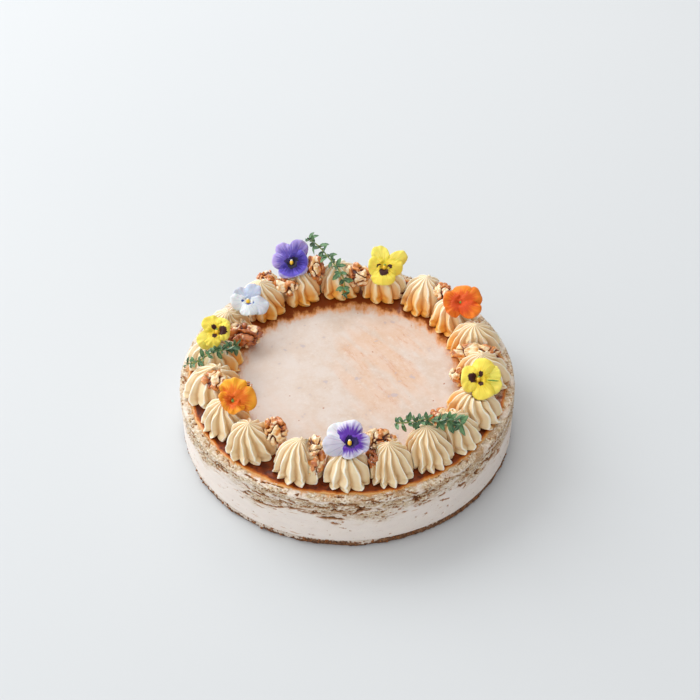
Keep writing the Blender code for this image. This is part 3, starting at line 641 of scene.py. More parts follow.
PETAL_COLOURS = {
    # look: near the eye and at the edge of the upper petals, the same of the others, and veins
    "petal_violet": ((100, 82, 176), (172, 156, 220), (50, 34, 132), (108, 94, 210), (40, 24, 110)),
    "petal_yellow": ((228, 206, 56), (242, 228, 104), (230, 198, 48), (242, 220, 86),
                     (196, 166, 30)),
    "petal_orange": ((220, 88, 10), (238, 136, 30), (210, 74, 8), (236, 124, 24), (186, 54, 4)),
    "petal_amber": ((226, 114, 12), (242, 172, 42), (216, 92, 8), (240, 154, 30), (196, 76, 4)),
    "petal_white_violet": ((216, 214, 224), (222, 224, 228), (92, 44, 160), (218, 214, 232),
                           (70, 28, 124)),
    "petal_white_blue": ((186, 195, 214), (196, 204, 218), (220, 223, 224), (222, 226, 229),
                         (142, 156, 194)),
}

# How far out the deep colour reaches, as a share of the petal. Then, if there is a blotch, its
# colour, and its form on a side petal and on a lower one: its middle's distance from the eye, half
# its length and half its width
PETAL_MARKS = {
    "petal_violet": (0.80, (14, 6, 40), (1.5, 3.2, 3.6), (2.0, 3.4, 4.0)),
    "petal_yellow": (0.5, (60, 13, 8), (3.4, 1.7, 1.6), (4.0, 2.5, 3.1)),
    "petal_orange": (0.75,),
    "petal_amber": (0.75,),
    "petal_white_violet": (0.86, (30, 8, 78), (1.5, 2.8, 3.2), (2.0, 3.4, 3.4)),
    "petal_white_blue": (0.45, (60, 84, 160), (3.2, 1.1, 0.8), (2.6, 0.8, 1.8)),
}

# The look of a flower's eye and of the small knob over it
EYES = {"petal_violet": ("eye", "eye_pale"), "petal_yellow": ("eye", "sepal"),
        "petal_orange": ("sepal", "eye"), "petal_amber": ("sepal", "eye_dark"),
        "petal_white_violet": ("eye", "eye_pale"), "petal_white_blue": ("eye", "eye_pale")}


def petal_look(name):
    """A petal's colours run outwards from the eye, with fine veins and a feathered blotch."""
    upper_heart, upper_edge, heart, edge, vein = PETAL_COLOURS[name]
    reach, *blotch = PETAL_MARKS[name]
    look = Shade(name + "_look", Roughness=0.55, Specular_IOR_Level=0.3, Subsurface_Weight=0.15,
                 Subsurface_Scale=0.8 * MM)
    place = look.here()
    along = look.attribute("along")
    ray = look.attribute("ray")
    kind = look.attribute("kind")
    not_upper = look.smooth(kind, 0.3, 0.9)
    rays = look.joined(7 * ray, 5 * kind, along)
    streaks = look.add("ShaderNodeTexNoise", {}, {"Vector": rays, "Scale": 1.0, "Detail": 3.0})
    feather = 0.7 * (streaks - 0.5) + 0.12 * (look.grain(1.4, place, 3.0) - 0.5)
    fade = look.smooth(along + feather, reach * 0.62, reach * 1.1)
    line = 1 - look.smooth(abs(look.maths("SINE", 9 * ray)), 0.0, 0.32)
    # A pale rim at each petal's edge: a painted highlight where it catches the light, stronger on
    # the violet flowers, whose own margins are pale too
    pale_rim = 0.35 if "violet" in name else 0.1
    colour = look.coats(
        look.mix(fade, upper_heart, upper_edge),
        (not_upper, look.mix(fade, heart, edge)),
        (look.attribute("tone") * 0.22, vein),
        (line * (1 - look.smooth(along, 0.45, 0.95)) * 0.4, vein),
        (look.smooth(along, 0.88, 1.0) * pale_rim, (255, 252, 240)))
    if blotch:
        deep, side_mark, lower_mark = blotch
        far = look.attribute("far")
        is_lower = look.smooth(kind, 1.4, 1.6)
        middle, half_length, half_width = [
            side + (low - side) * is_lower for side, low in zip(side_mark, lower_mark)]
        out = (far - middle) / half_length
        aside = far * look.maths("SINE", ray) / half_width
        inside = look.maths("SQRT", out * out + aside * aside) + 1.3 * feather
        on_upper = 0.75 if name == "petal_violet" else 0.0
        shown = look.maths("MAXIMUM", not_upper, on_upper)
        colour = look.mix((1 - look.smooth(inside, 0.85, 1.1)) * shown, colour, deep)
    return look.paint(colour, line * 0.6 + look.grain(1.2, place, 3.0), 0.12, 0.6)


def plain_look(name, low, high, size, roughness, relief):
    """Two close colours that mingle, and a fine relief."""
    look = Shade(name, Roughness=roughness)
    grains = look.grain(size, look.here(), 3.0, 0.6)
    return look.paint(look.mix(look.smooth(grains, 0.3, 0.7), low, high), grains, relief, 0.7)


def leaf_look():
    """Thyme: deep green above, greyer below, with a pale rib."""
    look = Shade("thyme_leaf_look", Roughness=0.5, Sheen_Weight=0.2, Subsurface_Weight=0.1,
                 Subsurface_Scale=0.6 * MM)
    rib = 1 - look.smooth(abs(look.attribute("across")), 0.02, 0.16)
    green = look.mix(look.spots(5, look.here(), 0.3, 0.7), (26, 76, 48), (104, 148, 98))
    return look.paint(look.coats(green, (rib * 0.5, (150, 178, 120)),
                                 (look.attribute("under"), (150, 174, 150))))


# The material's name, its two colours, the size of its grains, its roughness and its relief
PLAIN_LOOKS = {
    "stem": ("thyme_stem_look", (112, 142, 60), (170, 170, 92), 2.0, 0.6, 0.1),
    "eye": ("flower_eye_look", (240, 170, 20), (250, 214, 60), 0.8, 0.5, 0.1),
    "eye_pale": ("flower_eye_pale_look", (236, 234, 226), (250, 246, 224), 0.8, 0.5, 0.1),
    "eye_dark": ("flower_eye_dark_look", (60, 34, 10), (110, 84, 20), 0.8, 0.5, 0.1),
    "sepal": ("flower_sepal_look", (96, 140, 50), (140, 176, 76), 1.5, 0.6, 0.1),
    "crumb_pale": ("crumb_pale_look", (196, 160, 112), (236, 218, 184), 1.2, 0.8, 0.3),
    "crumb_brown": ("crumb_brown_look", (96, 52, 24), (176, 112, 58), 1.0, 0.75, 0.3),
}

LOOKS = {
    "cream": cream_look(),
    "filling": filling_look(),
    "biscuit": biscuit_look(),
    "glaze": glaze_look(),
    "walnut": walnut_look(),
    "leaf": leaf_look(),
    **{name: plain_look(*values) for name, values in PLAIN_LOOKS.items()},
    **{name: petal_look(name) for name in PETAL_COLOURS},
}


# Meshes ------------------------------------------------------------------------------------

def keep_piece(name, mesh, slot, *nodes):
    """Make a mesh of millimetres a finished piece that stands for CAD nodes."""
    mesh.transform(Matrix.Scale(MM, 4))
    mesh.shade_smooth()
    mesh.update()
    piece = bpy.data.objects.new(name, mesh)
    bpy.context.scene.collection.objects.link(piece)
    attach(piece, "root")
    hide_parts(*nodes)


def mesh_of(name, shape, *materials):
    """A mesh from a bmesh, with its faces pointing out."""
    bmesh.ops.recalc_face_normals(shape, faces=shape.faces[:])
    mesh = bpy.data.meshes.new(name)
    shape.to_mesh(mesh)
    shape.free()
    for material in materials:
        mesh.materials.append(material)
    return mesh


def loft(shape, loops, start, end):
    """Closed skin over rings of points with the same count."""
    rows = [[shape.verts.new(point) for point in loop] for loop in loops]
    count = len(rows[0])
    for lower, upper in zip(rows, rows[1:]):
        for step in range(count):
            after = (step + 1) % count
            shape.faces.new((lower[step], lower[after], upper[after], upper[step]))
    for row, point in ((rows[0], start), (rows[-1], end)):
        middle = shape.verts.new(point)
        for step in range(count):
            shape.faces.new((row[step], row[(step + 1) % count], middle))
    return rows


def mark_rows(layers, rows, marks):
    """Write down what each vertex of some rows has in each layer."""
    for vertex, values in zip((vertex for row in rows for vertex in row), marks):
        for layer, value in zip(layers, values):
            vertex[layer] = value


def ring_place(angle, radius, height=0.0):
    turn = math.radians(angle)
    return Vector((radius * math.sin(turn), -radius * math.cos(turn), height))


def all_round(steps):
    """Directions away from the cake's middle, in even steps round it."""
    return [ring_place(360 * step / steps, 1.0) for step in range(steps)]


def up(height):
    return Vector((0, 0, height))


def spin(degrees, axis="Z"):
    return Matrix.Rotation(math.radians(degrees), 4, axis)


def on_cream(place):
    """A topping's place on the cake, from one whose height starts at the cream's floor."""
    return Vector(place) + up(CREAM_FLOOR)


def ease(value, low, high):
    """0 below low, 1 above high, and an even rise between them."""
    share = max(0.0, min(1.0, (value - low) / (high - low)))
    return share * share * (3 - 2 * share)


def smooth_line(points, count):
    """Places along a smooth curve that passes through the points."""
    ends = [points[0] * 2 - points[1], *points, points[-1] * 2 - points[-2]]
    places = []
    for step in range(count):
        along = step / (count - 1) * (len(points) - 1)
        span = min(int(along), len(points) - 2)
        t = along - span
        a, b, c, d = ends[span:span + 4]
        places.append(0.5 * (2 * b + (c - a) * t + (2 * a - 5 * b + 4 * c - d) * t ** 2
                             + (3 * b - a - 3 * c + d) * t ** 3))
    return places


# Cake body ---------------------------------------------------------------------------------

# Torn holes in the cheese: their size, and how many times wider than high they are
HOLES = ((16, 5.5), (8, 4.0), (4.2, 2.8))

# Long thin splits: the same, and how far they gape as a share of the noise they follow
SPLITS = ((9, 3.5, 0.06), (4.5, 2.6, 0.09))


def torn_share(place):
    """0 on the smooth cut side, 1 in the crumbly zone above it, less on its smooth islands."""
    border = CRAG_FOOT - 3 + 9 * noise.noise(place / 19) + 3 * noise.noise(place / 5)
    island = noise.noise(Vector((place.x, place.y, 4.5 * place.z)) / 11 + Vector((4, 7, 1)))
    return ease(place.z, border, border + 11) * (1 - 0.6 * ease(island, 0.16, 0.34))


def crumb_depth(place, torn):
    """How deep the torn cheese is bitten at a place, and how dark the painted shade in it is there,
    both 0 to 1.
    """
    warp = noise.noise_vector(place / 2.2) * 1.3 + noise.noise_vector(place / 7) * 2.5
    rare = 0.30 + 0.16 * (1 - torn) + 0.2 * ease(place.z, 35.5, 38)
    fissure = 0.0
    for size, flatness in HOLES:
        layer = Vector((place.x, place.y, place.z * flatness)) + warp
        lens = noise.noise(layer / size + Vector((size, 0, 2 * size)))
        least = rare + 0.02 * size * ease(place.z, 31, 35)
        fissure = max(fissure, ease(lens, least, least + 0.12))
    for size, flatness, most in SPLITS:
        layer = Vector((place.x, place.y, place.z * flatness)) + warp
        line = abs(noise.noise(layer / size + Vector((0, size, size))))
        opened = ease(noise.noise(layer / (1.6 * size) + Vector((5, 2, 0))), rare - 0.26, rare)
        fissure = max(fissure, (1 - ease(line, 0.0, most)) * opened)
    pit = ease(noise.noise(place / 1.5 + warp / 4), 0.28, 0.5)
    flake = 0.5 + 0.5 * math.tanh(3 * noise.noise((place + warp) / 2.0 + Vector((3, 9, 2))))
    relief = 0.26 * flake + 0.36 * pit + 0.4 * noise.noise(place / 1.1)
    depth = 0.85 * fissure + relief * torn
    return max(0.0, min(1.0, depth)), min(1.0, fissure + 0.3 * pit * torn)


def crack_share(place, angle, climb):
    """How far a place lies in one of the side's widest cracks, 0 to 1, and its painted shade."""
    a_degree = math.radians(CAKE_RADIUS)  # its length on the side
    found = (0.0, 0.0)
    for first_angle, first_climb, last_angle, last_climb, half, dark in CRACKS:
        if not first_angle - 2 < angle < last_angle + 2:
            continue
        run, rise = (last_angle - first_angle) * a_degree, last_climb - first_climb
        aside, above = (angle - first_angle) * a_degree, climb - first_climb
        share = max(0.0, min(1.0, (aside * run + above * rise) / (run * run + rise * rise)))
        away = math.hypot(aside - share * run, above - share * rise)
        away += 0.7 * noise.noise(place / 1.3) + 0.4 * noise.noise(place / 0.6)
        thin = half * (0.5 + 0.4 * math.sin(math.pi * share))
        found = max(found, (1 - ease(away, 0.1 * thin, 1.4 * thin), dark))
    return found


def flake_share(place, angle, climb):
    """How far a place lies on the smooth flake, 0 to 0.8."""
    ragged = noise.noise(place / 2.5)
    along = ease(angle + 2 * ragged, *FLAKE_START) * (1 - ease(angle + 3 * ragged, *FLAKE_END))
    return 0.8 * along * ease(climb + 0.6 * ragged, *FLAKE_FOOT)


def body_line():
    """The filling's outline from its foot to the inner end of the rim: radius and height."""
    foot = BASE_HEIGHT + GAP
    side = CAKE_RADIUS - SIDE_INSET
    line = [(CAKE_RADIUS - 0.5, foot), (CAKE_RADIUS - 0.2, foot + 0.5)]
    for step in range(SIDE_ROWS + 1):
        climb = (SIDE_TOP - foot - SIDE_FOOT) * step / SIDE_ROWS
        line.append((side, foot + SIDE_FOOT + climb))
    for step in range(1, RIM_ROWS + 1):
        turn = math.pi / 2 * step / RIM_ROWS
        line.append((side - RIM_ROUNDING * (1 - math.cos(turn)),
                     SIDE_TOP + RIM_ROUNDING * math.sin(turn)))
    for step in range(1, RIM_ROWS + 1):
        line.append((RIM_START - (RIM_START - GLAZE_RADIUS - 0.5) * step / RIM_ROWS, RIM_TOP))
    return line


def make_filling():
    """The cheese: cut smooth below, torn and cracked above, and with a recess for the glaze."""
    shape = bmesh.new()
    layers = [shape.verts.layers.float.new(name) for name in ("hollow", "torn", "loose")]
    directions = all_round(ROUND_STEPS)
    loops = []
    marks = []
    for radius, height in body_line():
        loop = []
        climb = height + CAKE_RADIUS - SIDE_INSET - radius
        level = ease(height, 36, 39)
        for step, direction in enumerate(directions):
            place = direction * radius + up(height)
            angle = (360 * step / ROUND_STEPS + 180) % 360 - 180
            torn = torn_share(place) * (1 - flake_share(place, angle, climb))
            depth, dark = crumb_depth(place, torn) if torn > 0 else (0.0, 0.0)
            low = 0.16 * noise.noise(place / 6) + 0.08 * noise.noise(place / 1.4)
            hole = noise.noise(place / 3.1 + Vector((1, 8, 3))) + 0.35 * noise.noise(place / 0.9)
            speck = ease(hole, 0.54, 0.74)
            crack, shade = crack_share(place, angle, climb)
            depth = max(depth, 0.9 * crack * shade)
            share = max(ease(torn, 0.0, 0.35), crack)
            bite = share * (CRUMB_DEPTH * depth - 0.1) + low + 0.1 + (1 - torn) * 0.7 * speck
            place -= direction * bite * (1 - LEVEL_SHARE * level)
            place.z -= bite * LEVEL_SHARE * level
            loop.append(place)
            # Painted shade in the hollows and cracks, and brown specks on the smooth side
            dark = max(dark * share, 0.4 * speck * (1 - torn), crack * shade)
            marks.append((dark, torn, ease(torn, 0.5, 1.0)))
        loops.append(loop)
    recess = up(GLAZE_TOP - GLAZE_THICKNESS - GAP)
    loops.append([direction * (GLAZE_RADIUS + GAP) + recess for direction in directions])
    mark_rows(layers, loft(shape, loops, up(BASE_HEIGHT + GAP), recess), marks)
    return mesh_of("cheese_filling_looks", shape, LOOKS["filling"])


def make_base():
    """Pressed crumbs: an uneven dark band under the filling."""
    shape = bmesh.new()
    loose_layer = shape.verts.layers.float.new("loose")
    line = [(CAKE_RADIUS - 1.8, 0.0), (CAKE_RADIUS - 0.9, 0.35), (CAKE_RADIUS - 0.5, 1.0)]
    line += [(CAKE_RADIUS - 0.4, 1.0 + 3.0 * step / 7) for step in range(1, 8)]
    line += [(CAKE_RADIUS - 0.4, 4.6), (CAKE_RADIUS - 0.7, BASE_HEIGHT)]
    loops = []
    for radius, height in line:
        loop = []
        for direction in all_round(ROUND_STEPS):
            place = direction * radius + up(height)
            lumps = noise.noise(place / 2.4) + 0.7 * noise.noise(place / 1.1)
            swell = 0.6 * lumps - 0.5 + 0.8 * noise.noise(place / 8)
            loop.append(place + direction * min(0.35, swell) * ease(height, 0.0, 0.5))
        loops.append(loop)
    rows = loft(shape, loops, Vector(), up(BASE_HEIGHT))
    for vertex in (vertex for row in rows[4:-1] for vertex in row):
        vertex[loose_layer] = 1.0
    return mesh_of("biscuit_base_looks", shape, LOOKS["biscuit"])


# The glaze's round edge: share of its radius, and how far it has dropped there
GLAZE_EDGE = ((0.955, 0.04), (0.97, 0.14), (0.980, 0.26), (0.99, 0.40), (0.996, 0.52), (1.0, 0.72),
              (0.996, 1.0))
GLAZE_FOOT = GLAZE_TOP - 1.1        # its flat underside


def make_glaze():
    """A set puddle of caramel that runs a little way over the rim, with a round edge."""
    shape = bmesh.new()
    inset_layer = shape.verts.layers.float.new("inset")
    level = [0.04 * step for step in range(1, 23)] + [0.9, 0.92, 0.94]
    insets = []
    loops = []
    for share, drop in (*[(share, 0.0) for share in level], *GLAZE_EDGE):
        loop = []
        for direction in all_round(GLAZE_STEPS):
            wander = noise.noise(direction * 5) + 0.5 * noise.noise(direction * 14)
            edge = GLAZE_RADIUS + 1.0 + 1.3 * wander
            place = direction * edge * share
            swell = 0.10 * noise.noise(place / 26) + 0.04 * noise.noise(place / 7)
            place.z = GLAZE_TOP + GLAZE_SWELL + swell - drop
            loop.append(place)
            insets.append((edge * (1 - share),))
        loops.append(loop)
    rows = loft(shape, loops, up(GLAZE_TOP + GLAZE_SWELL), up(GLAZE_FOOT))
    mark_rows([inset_layer], rows, insets)
    return mesh_of("caramel_glaze_looks", shape, LOOKS["glaze"])


# Piped cream -------------------------------------------------------------------------------

# From a swirl's foot to its tip: its girth as a share of the widest, and its height
SHARE_CURVE = ((0.0, 0.0), (0.05, 0.93), (0.10, 1.0), (0.20, 0.99), (0.35, 0.945), (0.5, 0.875),
               (0.68, 0.72), (0.82, 0.48), (0.91, 0.25), (0.965, 0.09), (1.0, 0.0))
LEVEL_CURVE = ((0.0, 0.0), (0.05, 0.0), (0.10, 0.035), (0.20, 0.12), (0.35, 0.26), (0.5, 0.42),
               (0.70, 0.65), (0.85, 0.835), (0.94, 0.94), (1.0, 1.0))


def squeezed(recipe, radius, cosine, sine, shift, side):
    """The radius, flattened against the plane half way to the neighbour on one side."""
    way_x = recipe.size(side + " way X")
    way_y = recipe.size(side + " way Y")
    half = recipe.size(side + " half way")
    facing = recipe.maths("MAXIMUM", cosine * way_x + sine * way_y, 0.05)
    limit = (half - shift * way_x) / facing
    summed = radius ** -SQUEEZE_SHARPNESS + limit ** -SQUEEZE_SHARPNESS
    return summed ** (-1 / SQUEEZE_SHARPNESS)


def swirl_recipe():
    """A swirl from a star nozzle: sharp twisted ridges, wide soft panels and a pointed tip."""
    recipe = Recipe("piped_swirl")
    ridges = recipe.size("Ridges", 12)
    height = recipe.size("Height", 20.0)
    reach = recipe.size("Reach", 15.0)
    lean = recipe.size("Lean out")
    twist = recipe.size("Twist")
    soft = recipe.size("Softness")
    seed = recipe.size("Seed")
    inputs = {"Segments": ridges * POINTS_A_RIDGE, "Rings": SWIRL_ROWS, "Radius": 1.0}
    ball = recipe.add("GeometryNodeMeshUVSphere", {}, inputs)
    place = recipe.add("GeometryNodeInputPosition")
    x, y, z = recipe.parts(place)
    azimuth = recipe.maths("ARCTAN2", y, x)
    rise = 1 - recipe.maths("ARCCOSINE", z) / math.pi
    share = recipe.add("ShaderNodeFloatCurve", {"curve": SHARE_CURVE}, {"Value": rise})
    level = recipe.add("ShaderNodeFloatCurve", {"curve": LEVEL_CURVE}, {"Value": rise})
    phase = recipe.maths("FRACT", azimuth * ridges / math.tau + 40)
    # The ridge falls steeply on one side and slopes gently on the other.
    fall = recipe.maths("MINIMUM", phase / STEEP_SHARE, (1 - phase) / (1 - STEEP_SHARE))
    fall = recipe.maths("SQRT", fall * fall + 0.0004) - 0.02
    fall = recipe.maths("MINIMUM", fall, 1.0)
    # Near the foot the ridges swell into round lobes.
    roundness = soft + (1 - soft) * 0.6 * (1 - level) ** 7
    groove = (1 - (1 - fall) ** 1.6) * (1 - roundness) + fall ** 2.4 * roundness
    lobes = recipe.joined(x * 1.1, y * 1.1, level * 0.7)
    bent = recipe.wave(lobes, seed + 50, 1.6)
    turned = azimuth - twist * (0.6 * level + 1.1 * level ** 4) + 0.65 * bent
    cosine = recipe.maths("COSINE", turned)
    sine = recipe.maths("SINE", turned)
    shift = lean * level * level
    along = cosine / reach
    across = sine / SWIRL_GIRTH
    oval = 1 / recipe.maths("SQRT", along * along + across * across)
    uneven = recipe.wave(lobes, seed, 2.2)
    depth = SWIRL_GROOVE * (1 + 0.9 * uneven) * (1.1 - 0.25 * level)
    radius = oval * share * (1 - depth * groove) * (1 + 0.16 * uneven)
    radius = recipe.maths("MAXIMUM", radius, 0.001)
    radius = squeezed(recipe, radius, cosine, sine, shift, "Left")
    radius = squeezed(recipe, radius, cosine, sine, shift, "Right")
    formed = recipe.joined(cosine * radius + shift, sine * radius, level * height)
    # The grooves, where the cream's material paints shade and where pressed cream keeps them
    # showing
    marked = recipe.store(ball, "groove", groove)
    # Faces turned to the cake's middle, low down, where the cream's material paints a warm glow of
    # bounced light
    inward = recipe.maths("MAXIMUM", 0 - cosine, 0.0) * (1 - level)
    marked = recipe.store(marked, "inward", inward)
    recipe.end(recipe.moved(marked, Position=formed), LOOKS["cream"])
    return recipe


def swirl_sizes(index):
    """The recipe's named inputs for one swirl, from the table and its two neighbours."""
    swirl = SWIRLS[index]
    here = ring_place(swirl.angle, SWIRL_RING_RADIUS)
    into_own_frame = spin(90 - swirl.angle)
    sizes = {"Ridges": swirl.ridges, "Height": float(swirl.height), "Reach": swirl.reach,
             "Lean out": swirl.lean_out, "Twist": math.radians(swirl.twist),
             "Softness": swirl.soft, "Seed": index * 3.7}
    others = (SWIRLS[index - 1], SWIRLS[(index + 1) % len(SWIRLS)])
    for side, other in zip(("Left", "Right"), others):
        way = into_own_frame @ (ring_place(other.angle, SWIRL_RING_RADIUS) - here)
        sizes[side + " half way"] = way.length / 2 - GAP / 2
        sizes[side + " way X"], sizes[side + " way Y"], _z = way.normalized()
    return sizes


def make_swirl(recipe, index):
    swirl = SWIRLS[index]
    mesh = grow(recipe, bpy.data.meshes.new("swirl"), swirl_sizes(index))
    lift = Matrix.Translation(ring_place(swirl.angle, SWIRL_RING_RADIUS, SWIRL_FLOOR))
    mesh.transform(lift @ spin(swirl.angle - 90))
    return mesh


# Nuts --------------------------------------------------------------------------------------

def nut_radius(direction, seed):
    """A walnut piece's radius over that of its plain oval, for a direction from its middle."""
    offset = Vector((seed, 2 * seed, 3 * seed)) * 0.37
    lobes = noise.noise(direction * 1.5 + offset)
    folds = noise.noise(direction * 3.4 + offset * 2)
    return 1 - 0.2 * NUT_LUMP + NUT_LUMP * (lobes + 0.6 * folds)


def nut_turn(nut):
    x, y, z = (math.radians(turn) for turn in nut.turn)
    return Euler((x, y, z), "XYZ").to_matrix().to_4x4()


def make_nut(nut):
    """Winding folds over the lumpy form, with patches where the skin is broken away."""
    shape = bmesh.new()
    bmesh.ops.create_icosphere(shape, subdivisions=6, radius=1.0)
    layers = [shape.verts.layers.float.new(name) for name in ("fold", "broken", "toast")]
    toast = max(0.0, 1 - 2 * nut.pale)
    offset = Vector((nut.seed, nut.seed * 0.7, nut.seed * 1.9))
    for vertex in shape.verts:
        direction = vertex.co.normalized()
        place = Vector([part * size / 2 for part, size in zip(direction, nut.size)])
        place *= nut_radius(direction, nut.seed)
        warp = noise.noise_vector((place + offset) / 5.5) * 2.6
        winding = noise.noise((place + warp + offset) / 6.0)
        cleft = 1 - ease(abs(winding), 0.0, 0.14)
        swell = ease(abs(winding), 0.0, 0.30)
        small = noise.noise((place + offset) / 1.8)
        place += direction * (NUT_SWELL * swell - NUT_FOLD * cleft + 0.24 * small - 0.5)
        patch = noise.noise((place + offset * 2) / 6.5) + 0.25 * small
        vertex.co = place
        broken = ease(patch, 0.36 - 0.75 * nut.pale, 0.48 - 0.75 * nut.pale)
        mark_rows(layers, [[vertex]], [(cleft, broken, toast)])
    shape.transform(Matrix.Translation(on_cream(nut.place)) @ nut_turn(nut))
    for vertex in shape.verts:
        vertex.co.z = max(vertex.co.z, SWIRL_FLOOR)
    return mesh_of(nut.name + "_looks", shape, LOOKS["walnut"])


# Flowers -----------------------------------------------------------------------------------

def petal_edge(petal, angle):
    """Distance from the eye to an oval petal's edge, along an angle in degrees."""
    heading, length, half_width, _kind = petal
    half_length = PETAL_OVAL * length
    middle = length - half_length
    away = math.radians(angle - heading)
    a = (math.cos(away) / half_length) ** 2 + (math.sin(away) / half_width) ** 2
    b = -2 * middle * math.cos(away) / half_length ** 2
    c = (middle / half_length) ** 2 - 1
    return (-b + math.sqrt(b * b - 4 * a * c)) / (2 * a)


def petal_lift(flower, angle, share):
    """Height of the petals over the eye: a shallow dish with waves towards its edge."""
    wave = math.sin(3 * math.radians(angle) + len(flower.name))
    return share ** 2 * (PETAL_RISE + flower.wave * wave)


def flower_outline(flower, angle):
    return max(petal_edge(petal, angle) for petal in flower.petals)


def dish_height(flower, x, y):
    """Height of the flower's dish at a place in its own frame, and how far outside it that is."""
    angle = math.degrees(math.atan2(x, y))
    radius = math.hypot(x, y)
    edge = flower_outline(flower, angle)
    return petal_lift(flower, angle, min(radius / edge, 1.0)), radius - edge


def flower_pose(flower):
    """From a flower that lies face up, with its top petal along +Y, to its place on the cake."""
    lift = Matrix.Translation(on_cream(flower.eye))
    return lift @ spin(flower.heading) @ spin(flower.tilt, "X")


def petal_point(flower, petal, order, share, turn):
    """A place on a petal's middle surface, with its distance from the eye and its ray."""
    heading, length, half_width, _kind = petal
    half_length = PETAL_OVAL * length
    u = share * math.sin(turn)
    v = share * math.cos(turn)
    seed = heading * 0.1 + order
    ruffle = noise.noise(Vector((2.5 * math.sin(turn), 2.5 * math.cos(turn), seed)))
    grow_out = 1 + 0.05 * ruffle * share ** 3
    notch = PETAL_NOTCH * math.exp(-(min(turn, math.tau - turn) / 0.4) ** 2)
    x = half_width * u * (1 + 0.14 * v) * grow_out
    y = (length - half_length) + half_length * v * (grow_out - notch * share ** 3)
    radius = math.hypot(x, y)
    ray = math.atan2(x, y)
    side = math.radians(heading)
    place_x = x * math.cos(side) + y * math.sin(side)
    place_y = -x * math.sin(side) + y * math.cos(side)
    height, _outside = dish_height(flower, place_x, place_y)
    layer = PETAL_LAYER * order * ease(radius, 0.5, 4.0) * (1 - 0.35 * share * share)
    crease = noise.noise(Vector((place_x, place_y, 9 * order + seed)) / 4.6)
    curl = flower.ruffle * (PETAL_RUFFLE * ruffle * ease(share, 0.3, 1.0)
                            + PETAL_CREASE * crease * share)
    crown = 0.5 - 1.1 * u * u - 0.5 * share ** 4
    along = radius / length
    return Vector((place_x, place_y, height + layer + curl + crown)), along, ray


# What the petals' material reads: the distance from the eye as a share of the petal and in
# millimetres, the direction from its middle line, the kind of petal, and every other one darker
PETAL_LAYERS = ("along", "far", "ray", "kind", "tone")

# The knobs in the middle of a flower: place, sizes and number among its materials
KNOBS = (((0, -0.3, 1.5), (1.15, 1.55, 1.0), 1), ((0, 1.1, 1.9), (0.75, 0.6, 0.5), 3))

# The green cup and short stalk behind the petals: radius and height
CALYX_LINE = ((0.5, -5.2), (0.62, -4.2), (0.9, -3.2), (1.6, -2.0), (1.9, -1.0), (1.2, -0.35))
CALYX_FOOT, CALYX_TOP = -5.3, -0.3
GREEN = 2                           # the green's number among a flower's materials


def petal_orders(flower):
    """Upper petals lie at the back, the side ones over them, and the lower one in front."""
    ranked = sorted(range(len(flower.petals)), key=lambda index: flower.petals[index][3])
    return {index: rank for rank, index in enumerate(ranked)}


def make_petal(shape, flower, index, order):
    """One thin petal, closed all round its edge."""
    layers = [shape.verts.layers.float[name] for name in PETAL_LAYERS]
    petal = flower.petals[index]
    _heading, length, _half_width, kind = petal
    skins = []
    for side in (-PETAL_HALF, PETAL_HALF):
        rows = []
        for ring in range(PETAL_RINGS + 1):
            share = ring / PETAL_RINGS
            thin = up(side * (1 - 0.6 * ease(share, 0.8, 1.0)))
            row = []
            marks = []
            for step in range(PETAL_POINTS if ring else 1):
                turn = math.tau * step / PETAL_POINTS
                point, along, ray = petal_point(flower, petal, order, share, turn)
                row.append(shape.verts.new(point + thin))
                marks.append((along, along * length, ray, kind, order % 2))
            mark_rows(layers, [row], marks)
            rows.append(row)
        skins.append(rows)
    around = [(step, (step + 1) % PETAL_POINTS) for step in range(PETAL_POINTS)]
    for rows, flip in zip(skins, (True, False)):
        for inner, outer in zip(rows, rows[1:]):
            for step, after in around:
                corners = [inner[0], outer[after], outer[step]] if len(inner) == 1 \
                    else [inner[step], inner[after], outer[after], outer[step]]
                shape.faces.new(corners[::-1] if flip else corners)
    back, front = skins[0][-1], skins[1][-1]
    for step, after in around:
        shape.faces.new((back[step], back[after], front[after], front[step]))


def add_knob(shape, middle, sizes, material_index):
    """A small round lump."""
    made = bmesh.ops.create_icosphere(shape, subdivisions=3, radius=1.0)
    for vertex in made["verts"]:
        lump = 1 + 0.12 * noise.noise(vertex.co * 2.4 + middle)
        vertex.co = Vector([part * size * lump for part, size in zip(vertex.co, sizes)]) + middle
    for face in {face for vertex in made["verts"] for face in vertex.link_faces}:
        face.material_index = material_index


def add_calyx(shape):
    turns = [math.tau * step / CALYX_POINTS for step in range(CALYX_POINTS)]
    loops = [[Vector((radius * math.cos(turn), radius * math.sin(turn), height))
              for turn in turns] for radius, height in CALYX_LINE]
    first = len(shape.faces)
    loft(shape, loops, up(CALYX_FOOT), up(CALYX_TOP))
    shape.faces.ensure_lookup_table()
    for face in shape.faces[first:]:
        face.material_index = GREEN


def make_flower(flower):
    shape = bmesh.new()
    for name in PETAL_LAYERS:
        shape.verts.layers.float.new(name)
    for index, order in petal_orders(flower).items():
        make_petal(shape, flower, index, order)
    for place, sizes, number in KNOBS:
        add_knob(shape, Vector(place) * flower.eye_size,
                 [size * flower.eye_size for size in sizes], number)
    if flower.stalk:
        add_knob(shape, Vector(flower.stalk), STALK_SIZE, GREEN)
    add_calyx(shape)
    shape.transform(flower_pose(flower))
    eye, knob = EYES[flower.look]
    materials = (LOOKS[flower.look], LOOKS[eye], LOOKS["sepal"], LOOKS[knob])
    return mesh_of(flower.name + "_looks", shape, *materials)


# Room for toppings -------------------------------------------------------------------------

def groove_depths(mesh):
    """How far each vertex stays below a pressed surface, so that the cream's grooves show there."""
    grooves = mesh.attributes.get("groove")
    if grooves is None:
        return [0.0] * len(mesh.vertices)
    return [PRESSED_GROOVE * mark.value for mark in grooves.data]


